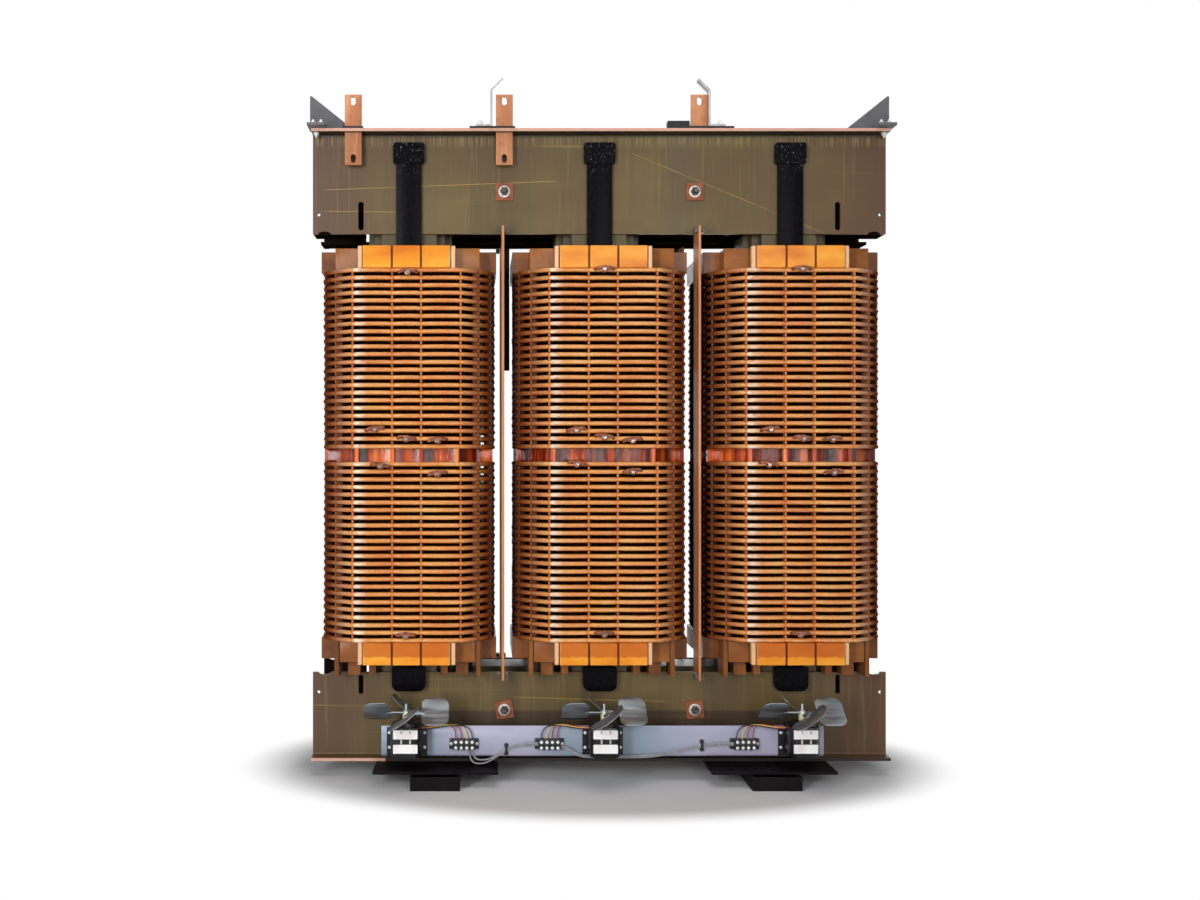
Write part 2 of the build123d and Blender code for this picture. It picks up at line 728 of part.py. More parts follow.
# Fan rotors: four pitched, slightly hollow blades riveted to a hub
hub_bottom = motor_top + rotor_gap
blade_mid = hub_bottom + blade_mid_above_hub
shaft_bottom = motor_top - shaft_depth + shaft_end_play
with BuildPart() as blade:
    blade_plane = Plane(origin=(blade_root, 0, 0), x_dir=(0, 1, 0), z_dir=(1, 0, 0))
    with BuildSketch(blade_plane):
        half_chord = blade_chord / 2
        sag = blade_camber_radius - sqrt(blade_camber_radius**2 - half_chord**2)
        with BuildLine():
            lower = ThreePointArc((-half_chord, 0), (0, -sag), (half_chord, 0))
            upper = ThreePointArc(
                (-half_chord, blade_thickness),
                (0, blade_thickness - sag),
                (half_chord, blade_thickness),
            )
            Line(lower @ 0, upper @ 0)
            Line(lower @ 1, upper @ 1)
        make_face()
    extrude(amount=blade_tip - blade_root)
    with BuildSketch(Plane.XY.offset(-blade_chord)) as plan:
        with Locations(((blade_tip + blade_root) / 2, 0)):
            Rectangle(blade_tip - blade_root, blade_chord)
        fillet(plan.vertices().group_by(Axis.X)[-1], blade_corner)
        chamfer(plan.vertices().group_by(Axis.X)[0], blade_corner / 2)
    extrude(amount=2 * blade_chord, mode=Mode.INTERSECT)

for phase, x in phases.items():
    with BuildPart(Plane((x, -fan_axis, 0))) as fan_rotor:
        with BuildSketch(Plane((x, -fan_axis, hub_bottom))):
            Circle(hub_radius)
        extrude(amount=hub_height)
        with BuildSketch(Plane((x, -fan_axis, shaft_bottom))):
            Circle(shaft_radius)
        extrude(amount=shaft_top - shaft_bottom)
        for number in range(blade_count):
            turn = 360 / blade_count * number
            with Locations(Location((0, 0, blade_mid), (0, 0, turn)) * Rotation(blade_pitch, 0, 0)):
                add(blade.part)
                arm_start, arm_end = hub_radius - hub_lap, blade_root + blade_arm_lap
                arm_level = blade_arm_thickness / 2 - blade_arm_drop - sag
                with Locations(((arm_start + arm_end) / 2, 0, arm_level)):
                    Box(arm_end - arm_start, blade_arm_width, blade_arm_thickness)
    save(fan_rotor, f"fan_rotor_{phase}")


# Terminal blocks on the rail's face: a ribbed body between two ears
block_top = block_mid_height + block_height / 2
block_bottom = block_mid_height - block_height / 2
body_length = block_length - 2 * block_ear
with BuildPart() as terminal_blocks:
    for x in block_offsets.values():
        with BuildSketch(Plane.XZ.offset(rail_face)):
            with Locations((x, block_mid_height)):
                Rectangle(block_length, block_height)
        extrude(amount=block_base)
        with BuildSketch(Plane.XZ.offset(rail_face + block_base)):
            with Locations((x, block_mid_height)):
                Rectangle(body_length, block_height)
            rib_pitch = body_length / (block_rib_count + 1)
            with Locations((x, block_top), (x, block_bottom)):
                with GridLocations(rib_pitch, 1, block_rib_count + 1, 1):
                    Rectangle(rib_pitch - block_rib_width, block_height / 3, mode=Mode.SUBTRACT)
        extrude(amount=block_depth - block_base)
        with BuildSketch(Plane.XZ.offset(rail_face)):
            with Locations((x, block_mid_height)):
                Rectangle(body_length, block_height)
        extrude(amount=block_depth / 2)
save(terminal_blocks, "terminal_blocks")


# Fan leads: a sleeved bundle from each motor over to the top of its block
lead_seat_depth = rail_face + block_depth / 4
with BuildPart() as motor_leads:
    for phase, x in phases.items():
        block_x = block_offsets[phase]
        towards = 1 if block_x > x else -1
        motor_side = x + towards * motor_width / 2
        first_bend = motor_side + towards * lead_exit_run
        route = [
            (motor_side, -lead_exit_depth, lead_exit_height),
            (first_bend, -lead_exit_depth, lead_exit_height),
            ((first_bend + block_x) / 2, -lead_crest_depth, lead_crest_height),
            (block_x, -lead_seat_depth, lead_drop_height),
            (block_x, -lead_seat_depth, block_top),
        ]
        with BuildLine() as lead_line:
            cable_path(route)
        with BuildSketch(Plane(lead_line.line @ 0, z_dir=lead_line.line % 0)):
            Circle(lead_radius)
        sweep(path=lead_line.line)
save(motor_leads, "motor_leads")


# Supply cables from block to block, tied to the rail's face
block_half = body_length / 2
free_depth = rail_face + cable_radius + cable_fit
seat_depth = rail_face + block_base + cable_radius + cable_fit
cable_routes = (
    [
        (block_offsets["left"] + 20, -free_depth, block_bottom),
        (block_offsets["left"] + 20, -free_depth, 60),
        (block_offsets["left"] + 66, -free_depth, 56),
        (-314, -free_depth, 82),
        (-280, -free_depth, 103),
        (-238, -seat_depth, 114),
        (block_offsets["middle"] - block_half, -seat_depth, block_mid_height),
    ],
    [
        (block_offsets["middle"] + block_half, -seat_depth, 107),
        (-106, -seat_depth, 106),
        (-78, -seat_depth, 81),
        (-30, -seat_depth, 77),
        (30, -seat_depth, 78),
        (95, -seat_depth, 76.5),
        (160, -free_depth, 79),
        (226, -free_depth, 91),
        (292, -free_depth, 108),
        (346, -seat_depth, 114),
        (block_offsets["right"] - block_half, -seat_depth, block_mid_height),
    ],
)
with BuildPart() as supply_cable:
    for route in cable_routes:
        with BuildLine() as cable_line:
            cable_path(route)
        with BuildSketch(Plane(cable_line.line @ 0, z_dir=cable_line.line % 0)):
            Circle(cable_radius)
        sweep(path=cable_line.line)
save(supply_cable, "supply_cable")
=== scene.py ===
"""Looks of an open-wound dry-type power transformer with three cooling fans.

Metres. X runs to the right along the row of coils, Y to the back, Z up from the floor.
"""
import json
import math

import bmesh
import bpy
from mathutils import Matrix, Vector

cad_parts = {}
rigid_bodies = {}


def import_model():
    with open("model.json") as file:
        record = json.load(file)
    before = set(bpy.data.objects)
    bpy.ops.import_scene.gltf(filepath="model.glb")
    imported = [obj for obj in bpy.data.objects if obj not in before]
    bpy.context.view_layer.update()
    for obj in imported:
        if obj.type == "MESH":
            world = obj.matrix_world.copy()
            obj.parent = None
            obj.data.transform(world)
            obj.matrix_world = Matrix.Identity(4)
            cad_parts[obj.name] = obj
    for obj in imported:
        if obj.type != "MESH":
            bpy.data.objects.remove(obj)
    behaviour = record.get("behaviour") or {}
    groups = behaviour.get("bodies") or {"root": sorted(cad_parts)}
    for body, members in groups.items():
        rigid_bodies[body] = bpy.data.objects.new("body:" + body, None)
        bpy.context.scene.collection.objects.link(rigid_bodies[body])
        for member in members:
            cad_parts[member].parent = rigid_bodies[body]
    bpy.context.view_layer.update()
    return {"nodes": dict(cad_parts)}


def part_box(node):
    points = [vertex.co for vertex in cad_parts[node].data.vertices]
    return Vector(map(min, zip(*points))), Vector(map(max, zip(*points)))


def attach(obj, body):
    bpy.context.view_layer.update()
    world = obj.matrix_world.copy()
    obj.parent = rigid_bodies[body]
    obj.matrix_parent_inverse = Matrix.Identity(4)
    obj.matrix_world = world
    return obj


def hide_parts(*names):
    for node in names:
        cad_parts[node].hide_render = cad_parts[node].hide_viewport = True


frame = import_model()
record_nodes = frame["nodes"]


# Camera. It stands level with the middle of the coils and left of the centre, looking
# straight back, and its view is shifted so that the whole object is in the picture.
def placed(name, data):
    """A new object in the scene."""
    thing = bpy.data.objects.new(name, data)
    bpy.context.scene.collection.objects.link(thing)
    return thing


image_width, image_height = 1200, 900
level_pixel_x, level_pixel_y = 480, 455
pixel_on_web = 0.0031
camera_distance = 3.70
camera_x, camera_z = -0.370, 0.985
web_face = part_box("front_tie_straps")[1].y

camera = bpy.data.cameras.new("camera")
camera.lens = camera.sensor_width * camera_distance / (pixel_on_web * image_width)
camera.shift_x = (image_width / 2 - level_pixel_x) / image_width
camera.shift_y = (level_pixel_y - image_height / 2) / image_width
camera_stand = placed("camera", camera)
camera_stand.location = (camera_x, web_face - camera_distance, camera_z)
camera_stand.rotation_euler = (math.radians(90), 0, 0)
bpy.context.scene.camera = camera_stand
bpy.context.scene.view_settings.view_transform = "Standard"


# Studio. A tall soft lamp stands in front on the left, a weak one on the right, one hangs
# above and one stands behind. The floor is pale paper that runs out to white.
def lamp(name, place, target, width, height, power):
    """A flat soft lamp that faces a target."""
    light = bpy.data.lights.new(name, "AREA")
    light.shape = "RECTANGLE"
    light.size, light.size_y, light.energy = width, height, power
    stand = placed(name, light)
    stand.location = place
    stand.rotation_euler = (Vector(target) - Vector(place)).to_track_quat("-Z", "Y").to_euler()


middle = (0, 0, 1.05)
lamp("lamp_left", (-2.3, -4.0, 1.4), middle, 0.7, 2.8, 112)
lamp("lamp_front", (0.9, -4.6, 1.7), middle, 1.8, 1.8, 48)
lamp("lamp_above", (0.0, -1.2, 4.6), middle, 2.4, 1.6, 34)
lamp("lamp_behind", (0.8, 4.4, 2.0), middle, 1.6, 2.2, 70)


def feed(tree, socket, value):
    """Link an output to a socket, or set the socket to a plain value; None leaves it alone."""
    if isinstance(value, bpy.types.NodeSocket):
        tree.links.new(value, socket)
    elif value is not None:
        socket.default_value = (*value, 1) if socket.type == "RGBA" and len(value) == 3 else value


def fed(tree, kind, *values, **settings):
    """A new node with its settings, whose inputs are fed in turn."""
    node = tree.nodes.new(kind)
    for key, value in settings.items():
        setattr(node, key, value)
    for socket, value in zip(node.inputs, values):
        feed(tree, socket, value)
    return node


def seen_directly(tree):
    """One for what the camera sees, straight or in a mirror, and nought for the light."""
    rays = fed(tree, "ShaderNodeLightPath").outputs
    mirrored = (rays["Is Glossy Ray"], rays["Is Transmission Ray"])
    either = fed(tree, "ShaderNodeMath", *mirrored, operation="MAXIMUM").outputs[0]
    return fed(tree, "ShaderNodeMath", rays["Is Camera Ray"], either, operation="MAXIMUM").outputs[0]


world = bpy.data.worlds.new("studio")
bpy.context.scene.world = world
world.use_nodes = True
air = world.node_tree
soft_light = air.nodes["Background"]
soft_light.inputs["Color"].default_value = (0.93, 0.96, 1.0, 1)
soft_light.inputs["Strength"].default_value = 0.17
white_wall = fed(air, "ShaderNodeBackground", (1, 1, 1))
backgrounds = (soft_light.outputs[0], white_wall.outputs[0])
world_choice = fed(air, "ShaderNodeMixShader", seen_directly(air), *backgrounds)
air.links.new(world_choice.outputs[0], air.nodes["World Output"].inputs["Surface"])

floor_half, floor_fade_start, floor_fade_end, floor_flatness = 40.0, 0.90, 1.16, 1.7
floor_mesh = bpy.data.meshes.new("floor")
floor_mesh.from_pydata(
    [(x, y, 0) for x, y in ((-1, -1), (1, -1), (1, 1), (-1, 1))], [], [(0, 1, 2, 3)]
)
floor_mesh.transform(Matrix.Diagonal((floor_half, floor_half, 1, 1)))
placed("floor", floor_mesh)
paper = bpy.data.materials.new("floor_paper")
paper.use_nodes = True
sheet = paper.node_tree
paper_shader = sheet.nodes["Principled BSDF"]
paper_shader.inputs["Base Color"].default_value = (0.72, 0.72, 0.73, 1)
paper_shader.inputs["Roughness"].default_value = 0.9
paper_place = fed(sheet, "ShaderNodeTexCoord").outputs["Object"]
paper_stretch = fed(sheet, "ShaderNodeMapping", paper_place, None, None, (1, floor_flatness, 1))
paper_reach = fed(sheet, "ShaderNodeVectorMath", paper_stretch.outputs[0], operation="LENGTH")
fade_range = (paper_reach.outputs["Value"], floor_fade_start, floor_fade_end)
paper_fade = fed(sheet, "ShaderNodeMapRange", *fade_range, interpolation_type="SMOOTHSTEP").outputs[0]
paper_share = fed(sheet, "ShaderNodeMath", paper_fade, seen_directly(sheet), operation="MULTIPLY")
paper_white = fed(sheet, "ShaderNodeEmission")
paper_looks = (paper_shader.outputs[0], paper_white.outputs[0])
paper_mix = fed(sheet, "ShaderNodeMixShader", paper_share.outputs[0], *paper_looks)
sheet.links.new(paper_mix.outputs[0], sheet.nodes["Material Output"].inputs["Surface"])
floor_mesh.materials.append(paper)


# Core. Three legs and two yokes of thin steel sheets, stacked from front to back in
# packets of three widths, varnished olive brown, whose edges show as fine lines.
def srgb(*colour):
    """A colour as a screen shows it, 0 to 255, turned into the colour a shader wants."""
    return tuple(((c / 255 + 0.055) / 1.055) ** 2.4 if c > 10 else c / 3294 for c in colour)


even = (1, 1, 1)


class Finish:
    """One material, built up node by node; its colour so far is kept in colour."""

    def __init__(self, name, metallic=0.0, coat=0.0, coat_roughness=0.1, specular=0.5):
        self.material = bpy.data.materials.new(name)
        self.material.use_nodes = True
        self.tree = self.material.node_tree
        self.shader = self.tree.nodes["Principled BSDF"]
        self.shine("Metallic", metallic)
        self.shine("Coat Weight", coat)
        self.shine("Coat Roughness", coat_roughness)
        self.shine("Specular IOR Level", specular)
        self.place = fed(self.tree, "ShaderNodeTexCoord").outputs
        self.colour = None

    def shine(self, key, value):
        """Feed one of the shader's own inputs."""
        feed(self.tree, self.shader.inputs[key], value)

    def mapping(self, stretch, source="Object", turn=(0, 0, 0)):
        """Coordinates, stretched and turned."""
        return fed(self.tree, "ShaderNodeMapping", self.place[source], None, turn, stretch).outputs[0]

    def noise(self, scale, stretch=even, detail=3.0, roughness=0.55):
        """Cloudy grain from 0 to 1."""
        sizes = (scale, detail, roughness)
        return fed(self.tree, "ShaderNodeTexNoise", self.mapping(stretch), None, *sizes).outputs["Fac"]

    def lines(self, scale, direction, distortion, source="Object", turn=(0, 0, 0)):
        """Even bands across one direction, from 0 to 1."""
        values = (self.mapping(even, source, turn), scale, distortion, 1.0)
        return fed(self.tree, "ShaderNodeTexWave", *values, bands_direction=direction).outputs["Fac"]

    def axis(self, letter, source="Object"):
        """How far along one axis a point lies."""
        return fed(self.tree, "ShaderNodeSeparateXYZ", self.place[source]).outputs[letter]

    def span(self, value, low, high, to_low=0.0, to_high=1.0):
        """Turn the range from low to high into another, with soft ends."""
        values = (value, low, high, to_low, to_high)
        return fed(self.tree, "ShaderNodeMapRange", *values, interpolation_type="SMOOTHSTEP").outputs[0]

    def math(self, operation, first, second=0.0):
        """One sum of two values."""
        return fed(self.tree, "ShaderNodeMath", first, second, operation=operation).outputs[0]

    def times(self, first, second):
        """The product of two values."""
        return self.math("MULTIPLY", first, second)

    def blend(self, share, first, second):
        """A colour between two, by a share from 0 to 1."""
        node = fed(self.tree, "ShaderNodeMix", share, data_type="RGBA")
        feed(self.tree, node.inputs[6], first)
        feed(self.tree, node.inputs[7], second)
        return node.outputs[2]

    def over(self, share, *colour):
        """Lay a screen colour over the colour so far, by a share from 0 to 1."""
        self.colour = self.blend(share, self.colour, srgb(*colour))

    def ramp(self, share, *stops):
        """Colours along a range; each stop is a place from 0 to 1 and a screen colour."""
        node = fed(self.tree, "ShaderNodeValToRGB", share)
        elements = node.color_ramp.elements
        while len(elements) < len(stops):
            elements.new(0.5)
        for element, (place, *colour) in zip(elements, stops):
            element.position = place
            element.color = (*srgb(*colour), 1)
        return node.outputs["Color"]

    def finish(self, roughness, height, depth, strength=0.6):
        """Join the colour, the roughness and the relief to the shader."""
        self.shine("Base Color", self.colour)
        self.shine("Roughness", roughness)
        relief = fed(self.tree, "ShaderNodeBump", strength, depth)
        feed(self.tree, relief.inputs["Height"], height)
        self.shine("Normal", relief.outputs[0])
        return self.material


def dress(node_name, material):
    """Give a carried-over node its finish."""
    mesh = record_nodes[node_name].data
    mesh.materials.clear()
    mesh.materials.append(material)


def as_mesh(shape, name):
    """Turn a shape under way into a mesh."""
    mesh = bpy.data.meshes.new(name)
    shape.to_mesh(mesh)
    shape.free()
    return mesh


def eased(node_name, material, edge, slot, body="transformer", crease=27):
    """A copy of a node with its sharp edges eased by a small round, which stands for it."""
    shape = bmesh.new()
    shape.from_mesh(record_nodes[node_name].data)
    bmesh.ops.remove_doubles(shape, verts=shape.verts, dist=0.00002)
    bmesh.ops.dissolve_limit(
        shape, angle_limit=math.radians(0.5), verts=shape.verts, edges=shape.edges
    )
    bmesh.ops.recalc_face_normals(shape, faces=shape.faces)
    mesh = as_mesh(shape, node_name + "_piece")
    mesh.materials.append(material)
    piece = placed(mesh.name, mesh)
    rounding = piece.modifiers.new("eased_edges", "BEVEL")
    rounding.width = edge
    rounding.segments = 2
    rounding.limit_method = "ANGLE"
    rounding.angle_limit = math.radians(35)
    rounding.use_clamp_overlap = True
    return settle(piece, slot, body, node_name, crease=crease)


def settle(piece, slot, body="transformer", *replaced, crease=27):
    """Turn a piece into a plain mesh and let it ride on its body."""
    bpy.context.view_layer.update()
    evaluated = piece.evaluated_get(bpy.context.evaluated_depsgraph_get())
    plain = bpy.data.meshes.new_from_object(evaluated)
    plain.name = piece.name
    plain.shade_smooth()
    plain.set_sharp_from_angle(angle=math.radians(crease))
    piece.modifiers.clear()
    piece.data = plain
    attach(piece, body)
    if replaced:
        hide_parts(*replaced)
    return piece


look = Finish("core_sheets", specular=0.3)
sheet_lines = look.lines(190, "Y", 1.5)
core_stain = look.noise(5, (1, 1, 0.4), 5)
look.colour = look.ramp(core_stain, (0.3, 60, 52, 34), (0.55, 96, 84, 54), (0.8, 120, 104, 66))
look.over(look.times(sheet_lines, 0.45), 44, 38, 26)
core_material = look.finish(look.span(core_stain, 0.3, 0.8, 0.3, 0.55), sheet_lines, 0.0006, 0.5)
for core_node in ("core_legs", "top_yoke", "bottom_yoke"):
    dress(core_node, core_material)


# Clamps. Folded steel plates along both sides of each yoke, dipped in a brown varnish
# that ran down in streaks. Its rubbed front edges show bare, pinkish metal.
clamp_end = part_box("front_top_clamp")[1].x
flange_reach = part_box("front_top_clamp")[0].y
top_flange_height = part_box("front_top_clamp")[1].z
web_inside, bend_low, bend_high = 0.128, 0.188, 0.197
look = Finish("clamp_varnish")
streaks = look.noise(9, (1, 1, 0.05), 6, 0.62)
fine_streaks = look.noise(85, (1, 1, 0.03), 4, 0.6)
cross_streaks = look.noise(60, (0.03, 1, 1), 3, 0.5)
along, outwards, height = look.axis("X"), look.axis("Y"), look.axis("Z")
from_end = look.math("ABSOLUTE", along)
look.colour = look.ramp(
    streaks, (0.25, 72, 58, 32), (0.45, 93, 77, 43), (0.62, 108, 90, 51), (0.85, 82, 63, 37)
)
look.over(look.span(look.noise(2.2, (1, 1, 1.4), 4), 0.4, 0.66, 0.0, 0.6), 82, 60, 36)
look.over(look.span(from_end, clamp_end * 0.66, clamp_end * 0.98, 0.0, 0.75), 84, 54, 34)
look.over(look.span(fine_streaks, 0.56, 0.76, 0.0, 0.32), 142, 124, 84)
look.over(look.span(cross_streaks, 0.66, 0.8, 0.0, 0.3), 168, 140, 74)
tick_band = look.times(
    look.span(height, top_flange_height - 0.055, top_flange_height - 0.03),
    look.span(look.noise(420, (1, 1, 0.008), 2, 0.5), 0.5, 0.6, 0.0, 0.34),
)
look.over(tick_band, 178, 158, 110)
# A scratch goes through a point at a slope, from one place along the clamp to another.
for foot_x, foot_z, rise, low_x, high_x in (
    (-0.884, 1.8056, 0.0375, -0.87, -0.12), (0.111, 1.916, -0.415, 0.09, 0.71),
    (-0.88, 1.741, -0.01, -0.87, -0.60), (-0.30, 0.236, -0.03, -0.28, 0.22),
):
    climb = look.times(look.math("SUBTRACT", along, foot_x), rise)
    off_line = look.math("SUBTRACT", look.math("SUBTRACT", height, foot_z), climb)
    scratch = look.span(look.math("ABSOLUTE", off_line), 0.0004, 0.0013, 0.62, 0.0)
    for near, far in ((low_x, low_x + 0.04), (high_x, high_x - 0.04)):
        scratch = look.times(scratch, look.span(along, near, far))
    scratch = look.times(scratch, look.span(cross_streaks, 0.3, 0.55, 0.25, 1.0))
    look.over(scratch, 198, 158, 74)
# Painted shadow of the fan rail: a dark band on the bottom clamps' web just above the rail.
painted_rail_shadow = look.times(
    look.span(height, bend_low, bend_high, 0.7, 0.0), look.math("LESS_THAN", from_end, clamp_end * 0.70)
)
look.over(painted_rail_shadow, 50, 34, 30)
# Painted shade: the clamps' inner lip, under the yoke behind the web, is painted near black and loses
# its specular sheen.
painted_lip_shade = look.math("LESS_THAN", look.math("ABSOLUTE", outwards), web_inside)
look.over(look.times(painted_lip_shade, 0.92), 12, 9, 9)
look.shine("Specular IOR Level", look.span(painted_lip_shade, 0.0, 1.0, 0.35, 0.0))
# Painted shadow of the top flange: a dark band along the top of the web, behind the flange's front edge.
painted_flange_shadow = look.times(
    look.span(height, top_flange_height - 0.022, top_flange_height - 0.010, 0.0, 0.85),
    look.math("GREATER_THAN", outwards, flange_reach + 0.004),
)
look.over(painted_flange_shadow, 26, 18, 14)
rubbed = look.times(
    look.math("LESS_THAN", outwards, flange_reach + 0.0012), look.span(streaks, 0.3, 0.5, 0.55, 0.95)
)
# On the bottom clamps, right of the rail's left end, the front edge is painted near black instead of
# bare metal: painted shadow of the rail.
painted_edge_shadow = look.times(look.math("LESS_THAN", height, 0.5), look.math("GREATER_THAN", along, -0.66))
edge_colour = look.blend(painted_edge_shadow, srgb(214, 166, 144), srgb(30, 18, 20))
look.colour = look.blend(rubbed, look.colour, edge_colour)
clamp_material = look.finish(
    look.span(streaks, 0.3, 0.75, 0.34, 0.55),
    look.math("ADD", streaks, look.times(fine_streaks, 0.4)), 0.0008, 0.4,
)
for clamp_node in ("front_top_clamp", "rear_top_clamp", "front_bottom_clamp", "rear_bottom_clamp"):
    eased(clamp_node, clamp_material, 0.0012, "clamp_varnish", crease=9)


# Tie straps. Flat bars wrapped in black glass tape and varnished, which run down the
# middle of each leg from the top clamp, through the coil, to the bottom clamp.
look = Finish("black_wrap", specular=0.05)
strap_grain = look.noise(170, (1, 1, 0.6), 4)
strap_wrap = look.lines(11, "Z", 2.5)
strap_specks = look.times(
    look.span(strap_grain, 0.6, 0.7),
    look.span(look.axis("Z"), top_flange_height - 0.16, top_flange_height - 0.05),
)
look.colour = look.ramp(strap_grain, (0.4, 4, 3, 7), (0.75, 16, 13, 18))
look.over(look.times(strap_specks, 0.38), 190, 190, 195)
strap_material = look.finish(
    look.span(strap_grain, 0.3, 0.7, 0.22, 0.4),
    look.math("ADD", strap_grain, look.times(strap_wrap, 0.25)), 0.0008, 0.35,
)
for strap_node in ("front_tie_straps", "rear_tie_straps"):
    eased(strap_node, strap_material, 0.004, "strap_varnish")


# Low-voltage windings and barriers. Foil and sheet insulation form a thick tube round
# each leg; outside it stands a thin tube of varnished board with upright sticks.
def grained(name, grain, stops, roughness, depth, **shine):
    """A mottled material; its grain gives the relief too and, where two are given, the roughness."""
    mottled = Finish(name, **shine)
    pattern = mottled.noise(*grain)
    mottled.colour = mottled.ramp(pattern, *stops)
    if isinstance(roughness, tuple):
        roughness = mottled.span(pattern, 0.3, 0.7, *roughness)
    return mottled.finish(roughness, pattern, depth)


foil_material = grained(
    "foil_winding", (12, (1, 1, 0.3), 5), ((0.3, 70, 34, 22), (0.7, 130, 66, 34)), 0.4, 0.001, coat=0.4
)
for side in ("left", "middle", "right"):
    dress(f"lv_winding_{side}", foil_material)

look = Finish("barrier_board")
barrier_streaks = look.noise(26, (1, 1, 0.05), 4, 0.6)
barrier_drips = look.noise(60, (1, 1, 0.4), 4)
barrier_middle = sum(corner.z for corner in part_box("barriers")) / 2
from_gap = look.math("ABSOLUTE", look.math("SUBTRACT", look.axis("Z"), barrier_middle))
gap_end = (0.021, 0.03)
look.colour = look.ramp(
    barrier_streaks,
    (0.36, 50, 14, 16), (0.47, 150, 44, 16), (0.56, 226, 92, 26), (0.72, 244, 150, 70),
)
# Painted shade: away from the gap between the two stacks, where the board stands behind the discs, it is
# painted near black.
look.over(look.span(from_gap, *gap_end, 0.0, 0.97), 14, 4, 3)
barrier_gloss = look.span(from_gap, *gap_end, 0.22, 0.0)
look.shine("Specular IOR Level", barrier_gloss)
look.shine("Coat Weight", barrier_gloss)
barrier_material = look.finish(look.span(from_gap, *gap_end, 0.12, 0.95), barrier_drips, 0.004, 0.7)
eased("barriers", barrier_material, 0.0012, "barrier_board")


# High-voltage windings. Each disc is wire wound flat and wrapped in tape like a rope,
# pulled straight between the sticks; two stacks of 24 hang one above the other.
disc_count, disc_pitch, disc_height, disc_depth = 24, 0.023, 0.0135, 0.042
front_sticks = (0.0435, 0.162)
side_sticks = (0.0435, 0.120)
corner_sticks = ((0.219, 0.229), (0.254, 0.193))
coil_half = 0.265
dent_depth, dent_half, dent_slope = 0.0032, 0.0022, 0.0038
long_stretch, bulge = 0.07, 0.0034


def stick_places():
    """Where the sticks stand round a coil: place on the wire and the way it faces there."""
    places = []
    for across, facing, offsets, corners, corner_y in (
        (Vector((1, 0)), Vector((0, -1)), front_sticks, corner_sticks, -1),
        (Vector((0, 1)), Vector((1, 0)), side_sticks, corner_sticks[::-1], 1),
    ):
        for offset in [-o for o in reversed(offsets)] + list(offsets):
            places.append((facing * coil_half + across * offset, facing))
        for x, y in corners:
            places.append((Vector((x, corner_y * y)), Vector((1, corner_y)).normalized()))
    return places + [(-place, -facing) for place, facing in places]


def disc_outline():
    """The wire's path round a coil: straight between the sticks and dented at each."""
    path = []
    for place, facing in stick_places():
        along = Vector((-facing.y, facing.x))
        path.append(place - along * (dent_half + dent_slope))
        path.append(place - along * dent_half - facing * dent_depth)
        path.append(place + along * dent_half - facing * dent_depth)
        path.append(place + along * (dent_half + dent_slope))
    eased_path = []
    for here, there in zip(path, path[1:] + path[:1]):
        share = min(0.25, 0.004 / (there - here).length)
        eased_path.append(here.lerp(there, share))
        if (there - here).length > long_stretch:
            outward = Vector((there.y - here.y, here.x - there.x)).normalized()
            for part in (0.12, 0.3, 0.5, 0.7, 0.88):
                eased_path.append(here.lerp(there, part) + outward * bulge * 4 * part * (1 - part))
        eased_path.append(there.lerp(here, share))
    return eased_path


def disc_section():
    """Section of a disc, outwards and upwards: a long round-nosed bar."""
    half = disc_height / 2
    nose = [
        (-half + half * math.cos(a), half * math.sin(a))
        for a in (math.radians(d) for d in range(-90, 91, 45))
    ]
    return nose + [(-disc_depth, half), (-disc_depth, -half)]


nose_length = 4 * disc_height * math.sin(math.radians(22.5))


def disc_mesh():
    """One disc round the origin, with a map that runs along and around the wire."""
    path, section = disc_outline(), disc_section()
    shape = bmesh.new()
    layer = shape.loops.layers.uv.new("UVMap")
    rings, along = [], [0.0]
    for index, point in enumerate(path):
        before, after = path[index - 1], path[(index + 1) % len(path)]
        heading = (after - before).normalized()
        outward = Vector((heading.y, -heading.x))
        rings.append([
            shape.verts.new((point.x + outward.x * r, point.y + outward.y * r, z)) for r, z in section
        ])
        along.append(along[-1] + (after - point).length)
    around = [0.0]
    for here, there in zip(section, section[1:] + section[:1]):
        around.append(around[-1] + math.dist(here, there))
    count, sides = len(path), len(section)
    for i in range(count):
        for j in range(sides):
            k, m = (i + 1) % count, (j + 1) % sides
            face = shape.faces.new((rings[i][j], rings[k][j], rings[k][m], rings[i][m]))
            face.smooth = True
            corners = ((i, j), (i + 1, j), (i + 1, j + 1), (i, j + 1))
            for loop, (a, b) in zip(face.loops, corners):
                loop[layer].uv = (along[a], around[b])
    bmesh.ops.recalc_face_normals(shape, faces=shape.faces)
    return as_mesh(shape, "disc")


